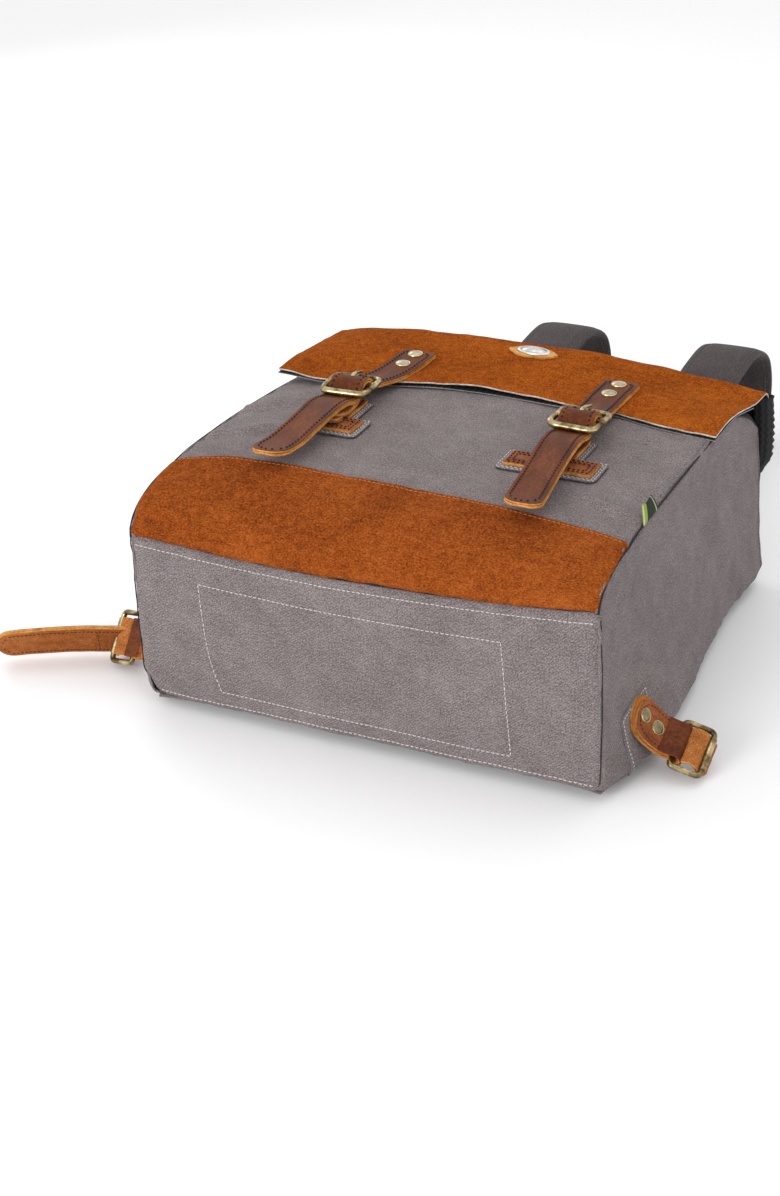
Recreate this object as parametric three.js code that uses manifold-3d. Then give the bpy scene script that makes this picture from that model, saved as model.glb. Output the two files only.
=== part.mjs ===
// Canvas and suede travel backpack, lying on its back.
// Millimetres. +X is the bag's right as seen from the front, +Y runs from its bottom to its top
// end, and +Z points out of the front panel. The origin is the centre of the back pad's flat face.

import * as THREE from 'three';
import { mergeVertices } from 'three/addons/utils/BufferGeometryUtils.js';
import Module from 'manifold-3d';

const wasm = await Module();
wasm.setup();

// ---------------------------------------------------------------- driving dimensions

const GAP = 0.3; // clearance between two pieces that touch

const BAG_WIDTH = 300;
const BAG_BOTTOM_Y = -145;
const BAG_TOP_Y = 145;
const UNDERSIDE_Z = 10; // the straps and pads lie between the back panel and the floor
const BOTTOM_DEPTH_Z = 120; // height of the front edge of the bottom panel
const FRONT_Z = 147; // the flat of the front panel
const BULGE_LENGTH = 60; // the lower front curves down over this length
const TOP_SAG = 8; // the front panel falls this much from the flap's edge to the mouth
const CANVAS = 2.4; // canvas panel with its facing
const SIDE_WALL = 2.5; // gusset with its facing
const LINING = 1;
const CORNER_RADIUS = 14;
const BAND_TOP_Y = -88;

const BOARD = 2;
const SLEEVE_Z = 30;
const SLEEVE_THICKNESS = 3;
const SLEEVE_TOP_Y = 95;

const PAD_HALF_WIDTH = 34;
const PAD_SIDE_INNER = 92;
const PAD_SIDE_OUTER = 140;
const PAD_END_Y = 132;

const FLAP_WIDTH = 306;
const FLAP_EDGE_Y = 51;
const FLAP_EDGE_RISE = 12.5; // the flap's front edge arches back this much at mid-span
const FLAP_Z = 149.3; // underside of the flap's suede
const SUEDE = 2.2;
const FLAP_END_Y = 149.5;
const BADGE_Y = 126;

const CLOSURE_X = 76;
const STRAP_WIDTH = 25;
const STRAP_THICKNESS = 2.4;
const STRAP_END_Y = 100;
const LIFT_Y = 51.5; // the closure strap lifts here, just past the flap's edge
const LIFT_CLEARANCE = 1.2; // the riveted end starts this far back, clear of the lifted tail
const RIVET_ROWS_Y = [93, 74];
const RIVET_RADIUS = 4.6;

const BUCKLE_Y = 20;
const BUCKLE_Z = 160.5;
const BUCKLE_WIDTH = 37;
const BUCKLE_LENGTH = 30;
const BUCKLE_BAR = 3.4;
const CENTRE_BAR = 2.4;
const TAB_RING = 3.5;
const TAB_HOLE = 2.3;
const TAB_WIDTH = 19;
const SNAP = { y: -16, radius: 6, socketZ: 151.6, studZ: 153.1, socket: 1.2, stud: 1.3 };
const PATCH_Z = FRONT_Z + GAP;
const CANVAS_PATCH = 1.6;
const LEATHER_PATCH = 2;

const SHOULDER_X = 63;
const SHOULDER_WIDTH = 46;
const SHOULDER_HALF_THICKNESS = 3.7;

const SIDE_TAB_WIDTH = 26;
const SIDE_BUCKLE = { width: 38, length: 20, bar: 3.2, heel: -10, tilt: THREE.MathUtils.degToRad(18) };
const SIDE_BUCKLE_CENTRE = { out: 37, down: 22.6 };
const SIDE_TAB_LOOP = { ring: 4.1, hole: 2.6 };
const SIDE_RIVET_ROWS = [11, 1];
const TAIL = { length: 72, width: 24, thickness: 3.4, start: [-203, -106, 15], roll: 66, yaw: 207 };

const SIDES = [
  { name: 'left', sign: -1, tabY: -124, tabZ: 34, turn: THREE.MathUtils.degToRad(50) },
  { name: 'right', sign: 1, tabY: -100, tabZ: 36, turn: THREE.MathUtils.degToRad(22) },
];

// ---------------------------------------------------------------- materials

const FINISHES = {
  canvas: { color: 0x6f6868, roughness: 0.95, metalness: 0 },
  canvasDark: { color: 0x4d4848, roughness: 0.95, metalness: 0 },
  suede: { color: 0x9a5222, roughness: 0.98, metalness: 0 },
  leather: { color: 0x6b3d27, roughness: 0.6, metalness: 0 },
  tan: { color: 0xc98f4a, roughness: 0.7, metalness: 0 },
  brass: { color: 0x8c7a50, roughness: 0.35, metalness: 1 },
  steel: { color: 0xb9b6ad, roughness: 0.3, metalness: 1 },
  liningCloth: { color: 0x2c2a2a, roughness: 0.95, metalness: 0 },
  mesh: { color: 0x333131, roughness: 1, metalness: 0 },
  board: { color: 0x8a8378, roughness: 0.8, metalness: 0 },
  label: { color: 0x2f4a2e, roughness: 0.9, metalness: 0 },
};

// ---------------------------------------------------------------- building helpers

const X = new THREE.Vector3(1, 0, 0);
const Y = new THREE.Vector3(0, 1, 0);
const Z = new THREE.Vector3(0, 0, 1);
const backpack = new THREE.Group();

/** Adds one named piece to a group. */
function addPart(name, geometry, finish, parent = backpack) {
  const mesh = new THREE.Mesh(geometry, new THREE.MeshStandardMaterial(FINISHES[finish]));
  mesh.name = name;
  parent.add(mesh);
  return mesh;
}

function extrude(shape, depth, curveSegments = 6) {
  return new THREE.ExtrudeGeometry(shape, { depth, bevelEnabled: false, curveSegments });
}

/** A shape drawn in (y, z), extruded along X and centred on x = centre. */
function alongX(shape, width, centre = 0) {
  const geometry = extrude(shape, width);
  geometry.applyMatrix4(new THREE.Matrix4().makeBasis(Y, Z, X));
  return geometry.translate(centre - width / 2, 0, 0);
}

/** A shape drawn in (x, z), extruded along Y from y0 to y1. */
function alongY(shape, y0, y1) {
  const geometry = extrude(shape, y1 - y0);
  geometry.applyMatrix4(new THREE.Matrix4().makeBasis(X, Z, Y.clone().negate()));
  return geometry.translate(0, y1, 0);
}

/** A shape drawn in (x, y), extruded along Z from z0 to z1. */
function alongZ(shape, z0, z1, curveSegments = 6) {
  return extrude(shape, z1 - z0, curveSegments).translate(0, 0, z0);
}

function polygon(points) {
  return new THREE.Shape(points.map(([u, v]) => new THREE.Vector2(u, v)));
}

function rectangle(u0, v0, u1, v1) {
  return polygon([[u0, v0], [u1, v0], [u1, v1], [u0, v1]]);
}

/** A rectangle with round corners; radii run from the lower left corner anticlockwise. */
function roundedRectangle(u0, v0, u1, v1, [a, b, c, d]) {
  const shape = new THREE.Shape();
  shape.moveTo(u0 + a, v0);
  shape.lineTo(u1 - b, v0);
  shape.absarc(u1 - b, v0 + b, b, -Math.PI / 2, 0);
  shape.lineTo(u1, v1 - c);
  shape.absarc(u1 - c, v1 - c, c, 0, Math.PI / 2);
  shape.lineTo(u0 + d, v1);
  shape.absarc(u0 + d, v1 - d, d, Math.PI / 2, Math.PI);
  shape.lineTo(u0, v0 + a);
  shape.absarc(u0 + a, v0 + a, a, Math.PI, 1.5 * Math.PI);
  return shape;
}

/** The side view of a strap: a smooth line through the points, thickened both ways by `half`. */
function bandShape(points, half, steps = 4 * points.length) {
  const curve = new THREE.CatmullRomCurve3(
    points.map(([u, v, own]) => new THREE.Vector3(u, v, own ?? half)),
    false,
    'centripetal',
  );
  const edges = [[], []];
  for (let i = 0; i <= steps; i += 1) {
    const point = curve.getPoint(i / steps);
    const tangent = curve.getTangent(i / steps);
    const normal = new THREE.Vector2(-tangent.y, tangent.x).normalize().multiplyScalar(point.z);
    edges[0].push(new THREE.Vector2(point.x + normal.x, point.y + normal.y));
    edges[1].push(new THREE.Vector2(point.x - normal.x, point.y - normal.y));
  }
  return new THREE.Shape([...edges[0], ...edges[1].reverse()]);
}

function solidOf(geometry) {
  const bare = geometry.clone();
  bare.deleteAttribute('normal');
  bare.deleteAttribute('uv');
  const merged = mergeVertices(bare, 1e-4);
  return new wasm.Manifold(new wasm.Mesh({
    numProp: 3,
    vertProperties: new Float32Array(merged.getAttribute('position').array),
    triVerts: new Uint32Array(merged.getIndex().array),
  }));
}

function geometryOf(solid) {
  const mesh = solid.getMesh();
  const geometry = new THREE.BufferGeometry();
  geometry.setAttribute('position', new THREE.BufferAttribute(mesh.vertProperties, 3));
  geometry.setIndex(new THREE.BufferAttribute(mesh.triVerts, 1));
  geometry.computeVertexNormals();
  return geometry;
}

const cut = (geometry, tool) => geometryOf(solidOf(geometry).subtract(solidOf(tool)));
const join = (first, second) => geometryOf(solidOf(first).add(solidOf(second)));
const keepInside = (geometry, tool) => geometryOf(solidOf(geometry).intersect(solidOf(tool)));

/** Height of the outside of the front panel at y. */
function frontHeight(y) {
  const bulgeStart = BAG_BOTTOM_Y + BULGE_LENGTH;
  if (y < bulgeStart) {
    const share = (bulgeStart - y) / BULGE_LENGTH;
    return FRONT_Z - (FRONT_Z - BOTTOM_DEPTH_Z) * share ** 2.2;
  }
  const share = Math.max(0, y - 60) / (BAG_TOP_Y - 60);
  return FRONT_Z - TOP_SAG * share ** 2;
}

/** The (y, z) points along the front, sunk below its outside by `inset`. */
function frontLine(y0, y1, inset, count) {
  return Array.from({ length: count + 1 }, (_, i) => {
    const y = y0 + ((y1 - y0) * i) / count;
    return [y, frontHeight(y) - inset];
  });
}

// ---------------------------------------------------------------- the bag's body

function addBagBody() {
  const half = BAG_WIDTH / 2;
  const frontSheet = (y0, y1, count) => polygon([
    ...frontLine(y0, y1, 0, count),
    ...frontLine(y0, y1, CANVAS, count).reverse(),
  ]);
  addPart('front_band', alongX(frontSheet(BAG_BOTTOM_Y, BAND_TOP_Y, 8), BAG_WIDTH), 'suede');
  addPart('front_panel', alongX(frontSheet(BAND_TOP_Y + GAP, BAG_TOP_Y, 10), BAG_WIDTH), 'canvas');

  const bottom = roundedRectangle(-half, UNDERSIDE_Z, half, BOTTOM_DEPTH_Z,
    [CORNER_RADIUS, CORNER_RADIUS, 1, 1]);
  addPart('bottom_panel', alongY(bottom, BAG_BOTTOM_Y - GAP - SIDE_WALL, BAG_BOTTOM_Y - GAP), 'canvas');

  const backTop = UNDERSIDE_Z + CANVAS;
  const back = rectangle(BAG_BOTTOM_Y, UNDERSIDE_Z, BAG_TOP_Y, backTop);
  addPart('back_panel', alongX(back, BAG_WIDTH), 'canvas');

  const floor = backTop + GAP;
  const gusset = polygon([
    [BAG_BOTTOM_Y, floor],
    [BAG_TOP_Y, floor],
    ...frontLine(BAG_BOTTOM_Y, BAG_TOP_Y, CANVAS + GAP, 16).reverse(),
  ]);
  for (const { name, sign } of SIDES) {
    addPart(`gusset_${name}`, alongX(gusset, SIDE_WALL, sign * (half - SIDE_WALL / 2)), 'canvas');
  }

  const inner = half - SIDE_WALL - GAP;
  const boardY = BAG_BOTTOM_Y + BOARD + GAP;
  const board = roundedRectangle(-inner + 4, floor + 4, inner - 4, BOTTOM_DEPTH_Z - 12, [6, 6, 6, 6]);
  addPart('base_board', alongY(board, BAG_BOTTOM_Y + GAP, boardY), 'board');
  addLining(inner, floor + GAP, boardY + GAP);
}

/** The lining is a thin tray with its mouth at the top end, and the laptop sleeve is sewn in it. */
function addLining(halfWidth, z0, y0) {
  const hug = CANVAS + 2 * GAP;
  const profile = (inset, end) => polygon([
    [y0 + inset, z0 + inset],
    [end, z0 + inset],
    ...frontLine(y0 + inset, Math.min(end, BAG_TOP_Y), hug + inset, 14).reverse(),
  ]);
  const outside = alongX(profile(0, BAG_TOP_Y - 1), 2 * halfWidth);
  const inside = alongX(profile(LINING, BAG_TOP_Y), 2 * (halfWidth - LINING));
  addPart('lining', cut(outside, inside), 'liningCloth');

  const sleeve = rectangle(y0 + 8, SLEEVE_Z, SLEEVE_TOP_Y, SLEEVE_Z + SLEEVE_THICKNESS);
  addPart('laptop_sleeve', alongX(sleeve, 2 * (halfWidth - LINING - GAP)), 'liningCloth');
}

function addBackPads() {
  const top = UNDERSIDE_Z - GAP;
  const pad = (x0, x1, y0, y1) => alongZ(roundedRectangle(x0, y0, x1, y1, [8, 8, 8, 8]), 0, top, 3);
  addPart('back_pad_centre', pad(-PAD_HALF_WIDTH, PAD_HALF_WIDTH, -PAD_END_Y, PAD_END_Y), 'mesh');
  addPart('back_pad_left', pad(-PAD_SIDE_OUTER, -PAD_SIDE_INNER, 4, PAD_END_Y), 'mesh');
  addPart('back_pad_right', pad(PAD_SIDE_INNER, PAD_SIDE_OUTER, 4, PAD_END_Y), 'mesh');
}

/** The woven label is folded into the seam at the right of the front panel. */
function addLabel() {
  const tag = rectangle(-74, FRONT_Z + GAP, -59, FRONT_Z + 11);
  addPart('seam_label', alongX(tag, 1.2, BAG_WIDTH / 2 - 1), 'label');
}

// ---------------------------------------------------------------- the flap

/** Plan of the flap's front: straight sides, and a front edge that arches back at mid-span. */
function flapPlan(inset) {
  const half = FLAP_WIDTH / 2 - inset;
  const edge = FLAP_EDGE_Y + inset;
  const shape = new THREE.Shape();
  shape.moveTo(-half, FLAP_END_Y);
  shape.lineTo(-half + 2, edge);
  shape.quadraticCurveTo(0, edge + 2 * FLAP_EDGE_RISE, half - 2, edge);
  shape.lineTo(half, FLAP_END_Y);
  return shape;
}

function addFlap() {
  const yoke = [[148.6, 15.5], [151.5, 45], [154, 70], [154.9, 86.8]];
  const wall = [[155, 87.5], [156.3, 110], [156, 130], [154.4, 147]];
  addPart('flap_yoke', alongX(bandShape(yoke, 1.1), FLAP_WIDTH - 6), 'canvas');
  addPart('flap_wall', alongX(bandShape(wall, 1.6), FLAP_WIDTH), 'suede');
  addPart('flap_front', alongZ(flapPlan(0), FLAP_Z, FLAP_Z + SUEDE, 10), 'suede');
  addPart('flap_lining', alongZ(flapPlan(2), FLAP_Z - GAP - LINING, FLAP_Z - GAP, 10), 'liningCloth');
  addBadge(FLAP_Z + SUEDE + GAP);
}

/** A plain domed oval on a leather patch with pointed ends. */
function addBadge(z) {
  const patch = polygon([[-16, 0], [-9, -8.5], [9, -8.5], [16, 0], [9, 8.5], [-9, 8.5]]);
  addPart('badge_patch', alongZ(patch, z, z + 1.5).translate(0, BADGE_Y, 0), 'tan');
  const radius = 6.5;
  const dome = new THREE.LatheGeometry([
    new THREE.Vector2(0, 0),
    new THREE.Vector2(radius, 0),
    new THREE.Vector2(radius, 0.9),
    new THREE.Vector2(radius - 1.2, 1.7),
    new THREE.Vector2(0, 2.2),
  ], 24);
  dome.rotateX(Math.PI / 2).scale(1.75, 1, 1).translate(0, BADGE_Y, z + 1.5 + GAP);
  addPart('badge_plate', dome, 'steel');
}

// ---------------------------------------------------------------- the two closures

/** A domed rivet cap whose underside is at the origin and which stands up along +Z. */
function rivetCap() {
  const profile = [[0, 0], [RIVET_RADIUS - 0.6, 0], [RIVET_RADIUS, 0.6], [RIVET_RADIUS - 0.8, 1.3], [0, 1.7]];
  const cap = new THREE.LatheGeometry(profile.map(([u, v]) => new THREE.Vector2(u, v)), 16);
  return cap.rotateX(Math.PI / 2);
}

/** A rectangular buckle frame in the XY plane, centred on its middle, with bars across it. */
function buckleFrame(width, length, bar, centreBar) {
  const outline = roundedRectangle(-width / 2, -length / 2, width / 2, length / 2, [5, 5, 5, 5]);
  const windowHalf = width / 2 - bar;
  const windows = centreBar
    ? [[-length / 2 + bar, -centreBar / 2], [centreBar / 2, length / 2 - bar]]
    : [[-length / 2 + bar, length / 2 - bar]];
  for (const [from, to] of windows) {
    outline.holes.push(roundedRectangle(-windowHalf, from, windowHalf, to, [2, 2, 2, 2]));
  }
  return alongZ(outline, -bar / 2, bar / 2, 3);
}

/** A ring round a bar at (u, v) that belongs to a folded tab or a prong. */
function ringShape(u, v, radius, hole) {
  const ring = new THREE.Shape();
  ring.absarc(u, v, radius, 0, 2 * Math.PI);
  if (hole) {
    const opening = new THREE.Path();
    opening.absarc(u, v, hole, 0, 2 * Math.PI);
    ring.holes.push(opening);
  }
  return ring;
}

/** A tab of the given side view that folds round a bar at (u, v). */
function foldedTab(points, half, u, v, width, centre) {
  const bar = alongX(ringShape(u, v, TAB_HOLE), width + 2, centre);
  const loop = alongX(ringShape(u, v, TAB_RING), width, centre);
  return cut(join(alongX(bandShape(points, half), width, centre), loop), bar);
}

function addClosure(name, sign) {
  const x = sign * CLOSURE_X;
  const flapTop = FLAP_Z + SUEDE + GAP;
  const strapTop = flapTop + STRAP_THICKNESS;
  const half = STRAP_WIDTH / 2;

  const upperY = LIFT_Y + LIFT_CLEARANCE;
  const upper = roundedRectangle(x - half - 1, upperY, x + half + 1, STRAP_END_Y, [1, 1, 4, 4]);
  addPart(`closure_strap_upper_${name}`, alongZ(upper, flapTop, strapTop), 'leather');
  RIVET_ROWS_Y.forEach((y, row) => {
    addPart(`closure_rivet_${row + 1}_${name}`, rivetCap().translate(x, y, strapTop + GAP), 'brass');
  });

  const tongue = [[LIFT_Y - 0.5, 153.2], [44, 154.4], [38, 155.7], [33, 156.3], [29, 158.9], [25, 163.9],
    [20, 165.8], [15, 163.9], [11, 158.9], [7, 156.4], [2, 156.9, 1.3], [-6, 159.9, 1.9],
    [-12, 160.3, 2], [-30, 160, 2], [-60, 158.4, 2], [-98, 159.4, 2]];
  const tip = roundedRectangle(x - half, -98, x + half, LIFT_Y, [10, 10, 1, 1]);
  const slot = rectangle(x - 2.6, 17.5, x + 2.6, 31);
  const tail = keepInside(alongX(bandShape(tongue, STRAP_THICKNESS / 2, 60), STRAP_WIDTH, x),
    alongZ(tip, 140, 175, 5));
  addPart(`closure_strap_${name}`, cut(tail, alongZ(slot, 155, 175)), 'leather');

  const frame = buckleFrame(BUCKLE_WIDTH, BUCKLE_LENGTH, BUCKLE_BAR, CENTRE_BAR);
  addPart(`closure_buckle_${name}`, frame.translate(x, BUCKLE_Y, BUCKLE_Z), 'brass');
  addProng(name, x);

  const tab = [[19, 158.4], [14.5, 156], [8, 153.4], [0, 153.4], [-6, 155.2], [-11, 156.2], [-24, 156.2]];
  const fold = foldedTab(tab, 1.5, BUCKLE_Y, BUCKLE_Z, TAB_WIDTH, x);
  const prongSlot = alongZ(rectangle(x - 2.6, 15.5, x + 2.6, 25), 155, 168);
  addPart(`closure_tab_${name}`, cut(fold, prongSlot), 'leather');

  addFrontPatches(name, x);
  const disc = ringShape(x, SNAP.y, SNAP.radius);
  addPart(`snap_socket_${name}`, alongZ(disc, SNAP.socketZ, SNAP.socketZ + SNAP.socket, 4), 'brass');
  addPart(`snap_stud_${name}`, alongZ(disc, SNAP.studZ, SNAP.studZ + SNAP.stud, 4), 'brass');
}

/** The prong turns on the centre bar, and its tip rests on the far bar of the buckle. */
function addProng(name, x) {
  const width = 3;
  const reach = BUCKLE_Y + BUCKLE_LENGTH / 2;
  const top = BUCKLE_Z + BUCKLE_BAR / 2;
  const bar = alongX(ringShape(BUCKLE_Y, BUCKLE_Z, TAB_HOLE), width + 2, x);
  const loop = alongX(ringShape(BUCKLE_Y, BUCKLE_Z, TAB_RING), width, x);
  const blade = alongX(bandShape(
    [[BUCKLE_Y, BUCKLE_Z + 2.6], [reach - 8, top + 1], [reach - 3, top + 1.1], [reach + 0.5, top + 0.9]],
    0.8, 8), width, x);
  addPart(`closure_prong_${name}`, cut(join(loop, blade), bar), 'brass');
}

/** The leather T and the canvas patch under it, sewn to the front panel below the buckle. */
function addFrontPatches(name, x) {
  const tee = (grow) => {
    const arm = 28 + grow;
    const stem = 11 + grow;
    return polygon([
      [-arm, -35 - grow], [arm, -35 - grow], [arm, -17 + grow], [stem, -17 + grow],
      [stem, 12], [-stem, 12], [-stem, -17 + grow], [-arm, -17 + grow],
    ]);
  };
  const canvas = alongZ(tee(4), PATCH_Z, PATCH_Z + CANVAS_PATCH);
  addPart(`canvas_patch_${name}`, canvas.translate(x, 0, 0), 'canvas');
  const leatherZ = PATCH_Z + CANVAS_PATCH + GAP;
  const leather = alongZ(tee(0), leatherZ, leatherZ + LEATHER_PATCH);
  addPart(`leather_patch_${name}`, leather.translate(x, 0, 0), 'leather');
}

// ---------------------------------------------------------------- the lower side tabs and straps

/** Everything on one side hangs from a frame on the gusset, turned about X by `turn`. */
function addSide({ name, sign, tabY, tabZ, turn }) {
  const mount = new THREE.Group();
  mount.position.set(sign * (BAG_WIDTH / 2 + GAP), tabY, tabZ);
  mount.rotation.x = turn;
  backpack.add(mount);

  const mirrored = (points) => points.map(([u, v, own]) => [sign * u, v, own]);
  const acrossY = (shape, width) => alongY(shape, -width / 2, width / 2);
  const { out, down } = SIDE_BUCKLE_CENTRE;
  const { tilt, heel } = SIDE_BUCKLE;
  const heelX = out + heel * Math.cos(tilt);
  const heelZ = -down - heel * Math.sin(tilt);

  const path = mirrored([[3.5, 17.5], [3.5, 4], [3.5, -6], [8, -13.5], [17, -17], [heelX - 3, heelZ + 0.6]]);
  const bar = acrossY(ringShape(sign * heelX, heelZ, SIDE_TAB_LOOP.hole), SIDE_TAB_WIDTH + 2);
  const loop = acrossY(ringShape(sign * heelX, heelZ, SIDE_TAB_LOOP.ring), SIDE_TAB_WIDTH);
  const tab = join(acrossY(bandShape(path, 1.8), SIDE_TAB_WIDTH), loop);
  const outline = roundedRectangle(-SIDE_TAB_WIDTH / 2, -40, SIDE_TAB_WIDTH / 2, 17.4, [1, 1, 12, 12]);
  addPart(`side_tab_${name}`, keepInside(cut(tab, bar), alongX(outline, 160)), 'leather', mount);
  addPart(`side_patch_${name}`, sidePatch(sign, turn, tabY, tabZ), 'canvas', mount);
  SIDE_RIVET_ROWS.forEach((z, row) => {
    const cap = rivetCap().rotateY((sign * Math.PI) / 2).translate(sign * (3.5 + 1.8 + GAP), 0, z);
    addPart(`side_rivet_${row + 1}_${name}`, cap, 'brass', mount);
  });

  const buckle = new THREE.Group();
  buckle.position.set(sign * out, 0, -down);
  buckle.rotation.y = sign * tilt;
  mount.add(buckle);
  const frame = buckleFrame(SIDE_BUCKLE.width, SIDE_BUCKLE.length + SIDE_BUCKLE.bar, SIDE_BUCKLE.bar);
  addPart(`side_buckle_${name}`, frame.rotateZ(Math.PI / 2), 'brass', buckle);
  const strap = mirrored([[-20, -13.7], [-12, -10], [-4.5, -4.4], [1, 0.9], [4.5, 0.2], [8, -3.4], [14, -4.4]]);
  addPart(`side_strap_${name}`, acrossY(bandShape(strap, 1.2), STRAP_WIDTH), 'leather', buckle);
}

/** The canvas patch under a side tab, trimmed to the gusset's lower edge. */
function sidePatch(sign, turn, tabY, tabZ) {
  const patch = alongX(rectangle(-19, -27, 19, 22), 1.2, sign * 0.6);
  const gusset = alongX(rectangle(BAG_BOTTOM_Y + 2, UNDERSIDE_Z + 5, 0, 100), 10);
  gusset.translate(0, -tabY, -tabZ).rotateX(-turn);
  return keepInside(patch, gusset);
}

/** The free end of the left strap stands on its edge beside the buckle and points outwards. */
function addLeftTail() {
  const half = TAIL.width / 2;
  const outline = roundedRectangle(0, -half, TAIL.length, half, [1, 10, 10, 1]);
  const tail = alongZ(outline, -TAIL.thickness / 2, TAIL.thickness / 2, 5);
  const holder = new THREE.Group();
  holder.position.set(...TAIL.start);
  holder.rotation.set(THREE.MathUtils.degToRad(TAIL.roll), 0, THREE.MathUtils.degToRad(TAIL.yaw), 'ZYX');
  backpack.add(holder);
  addPart('side_tail_left', tail, 'leather', holder);
}

// ---------------------------------------------------------------- the shoulder straps

function addShoulderStrap(name, sign) {
  const thin = 2.4;
  const loop = [[146.4, 10.9, thin], [158, 14.4, thin], [185, 33], [220, 54], [262, 69], [310, 77], [345, 75.5],
    [370, 62], [379.5, 40], [371, 17], [348, 5.2], [320, 4], [220, 4], [120, 4], [20, 4]];
  const band = bandShape(loop, SHOULDER_HALF_THICKNESS, 56);
  addPart(`shoulder_strap_${name}`, alongX(band, SHOULDER_WIDTH, sign * SHOULDER_X), 'canvasDark');
}

/** The flat leather strap that runs under the bag from the padded strap to the side buckle. */
function addLowerStrap(name, sign, endY) {
  const from = new THREE.Vector2(SHOULDER_X, 19.6);
  const to = new THREE.Vector2(BAG_WIDTH / 2 + 6, endY);
  const side = to.clone().sub(from).normalize().rotateAround(new THREE.Vector2(), Math.PI / 2);
  side.multiplyScalar(STRAP_WIDTH / 2);
  const corners = [
    [SHOULDER_X - STRAP_WIDTH / 2, from.y],
    [to.x - side.x, to.y - side.y],
    [to.x + side.x, to.y + side.y],
    [SHOULDER_X + STRAP_WIDTH / 2, from.y],
  ];
  const strap = alongZ(polygon(corners.map(([u, v]) => [sign * u, v])), 2, 5);
  addPart(`lower_strap_${name}`, strap, 'leather');
}

// ---------------------------------------------------------------- assembly

addBagBody();
addBackPads();
addLabel();
addFlap();
addLeftTail();
for (const side of SIDES) {
  addClosure(side.name, side.sign);
  addSide(side);
  addShoulderStrap(side.name, side.sign);
  addLowerStrap(side.name, side.sign, side.tabY + 14);
}

export default backpack;
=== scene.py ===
import math

import bmesh
import bpy
import numpy as np
from mathutils import Matrix, Vector


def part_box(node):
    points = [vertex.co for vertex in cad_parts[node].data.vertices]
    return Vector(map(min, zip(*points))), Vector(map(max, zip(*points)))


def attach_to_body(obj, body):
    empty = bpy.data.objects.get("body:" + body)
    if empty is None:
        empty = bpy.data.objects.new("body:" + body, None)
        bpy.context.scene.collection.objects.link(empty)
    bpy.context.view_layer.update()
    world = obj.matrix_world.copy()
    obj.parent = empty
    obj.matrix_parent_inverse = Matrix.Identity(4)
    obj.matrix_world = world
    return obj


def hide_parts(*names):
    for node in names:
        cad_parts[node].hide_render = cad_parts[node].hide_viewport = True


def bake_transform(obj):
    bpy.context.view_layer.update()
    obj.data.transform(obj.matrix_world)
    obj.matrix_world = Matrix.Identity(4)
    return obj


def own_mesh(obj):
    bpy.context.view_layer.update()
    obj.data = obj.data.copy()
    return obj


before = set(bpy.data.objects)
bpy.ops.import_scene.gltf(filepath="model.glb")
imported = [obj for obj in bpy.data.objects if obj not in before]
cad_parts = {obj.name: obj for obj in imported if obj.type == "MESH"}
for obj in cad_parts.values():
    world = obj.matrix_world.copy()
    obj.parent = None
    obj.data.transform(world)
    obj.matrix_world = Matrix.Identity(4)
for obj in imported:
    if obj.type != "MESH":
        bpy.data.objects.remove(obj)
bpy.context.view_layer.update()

MM = 0.001
SIDES = (("left", -1), ("right", 1))


# ---------------------------------------------------------------- camera, light and floor

camera = bpy.data.objects.new("camera", bpy.data.cameras.new("camera"))
bpy.context.scene.collection.objects.link(camera)
camera.data.sensor_width = 36
camera.data.lens = 64.96
camera.matrix_world = Matrix((
    (0.9011, -0.1740, 0.3973, 0.51174),
    (0.4317, 0.4472, -0.7833, -1.10966),
    (-0.0414, 0.8773, 0.4781, 0.69805),
    (0, 0, 0, 1),
))
bpy.context.scene.camera = camera

world = bpy.data.worlds.new("studio")
bpy.context.scene.world = world
world.use_nodes = True
world.node_tree.nodes["Background"].inputs["Color"].default_value = (1.0, 1.0, 1.0, 1)
world.node_tree.nodes["Background"].inputs["Strength"].default_value = 0.93
bpy.context.scene.view_settings.view_transform = "Standard"


def soft_light(name, place, target, size, power):
    data = bpy.data.lights.new(name, "AREA")
    data.size = size
    data.energy = power
    light = bpy.data.objects.new(name, data)
    light.location = place
    light.rotation_euler = (Vector(target) - Vector(place)).to_track_quat("-Z", "Y").to_euler()
    bpy.context.scene.collection.objects.link(light)


soft_light("key", (-0.6, -1.85, 0.8), (0, 0, 0.08), 0.9, 21)
soft_light("top", (0.2, 0.5, 1.6), (0, 0, 0.1), 1.2, 3)
soft_light("rim", (-1.1, 0.9, 0.7), (0, 0, 0.1), 0.7, 3)
soft_light("fill", (1.4, -0.8, 0.6), (0.1, 0, 0.08), 0.7, 1)


# ---------------------------------------------------------------- small maths

def smooth(t):
    t = np.clip(t, 0, 1)
    return t * t * (3 - 2 * t)


def spline(knots):
    """A smooth function through (x, y) knots."""
    xs = np.array([k[0] for k in knots], float)
    ys = np.array([k[1] for k in knots], float)
    slopes = np.gradient(ys, xs)

    def value(x):
        x = np.clip(np.asarray(x, float), xs[0], xs[-1])
        i = np.clip(np.searchsorted(xs, x) - 1, 0, len(xs) - 2)
        h = xs[i + 1] - xs[i]
        t = (x - xs[i]) / h
        return ((2 * t**3 - 3 * t**2 + 1) * ys[i] + (t**3 - 2 * t**2 + t) * h * slopes[i]
                + (3 * t**2 - 2 * t**3) * ys[i + 1] + (t**3 - t**2) * h * slopes[i + 1])
    return value


def lengths(points):
    """Distance along a polyline at each of its points."""
    steps = np.linalg.norm(np.diff(points, axis=0), axis=1)
    return np.concatenate([[0], np.cumsum(steps)])


def resample(points, at):
    """Points at the given distances along a polyline."""
    points = np.asarray(points, float)
    along = lengths(points)
    return np.stack([np.interp(at, along, points[:, k]) for k in range(points.shape[1])], axis=1)


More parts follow.
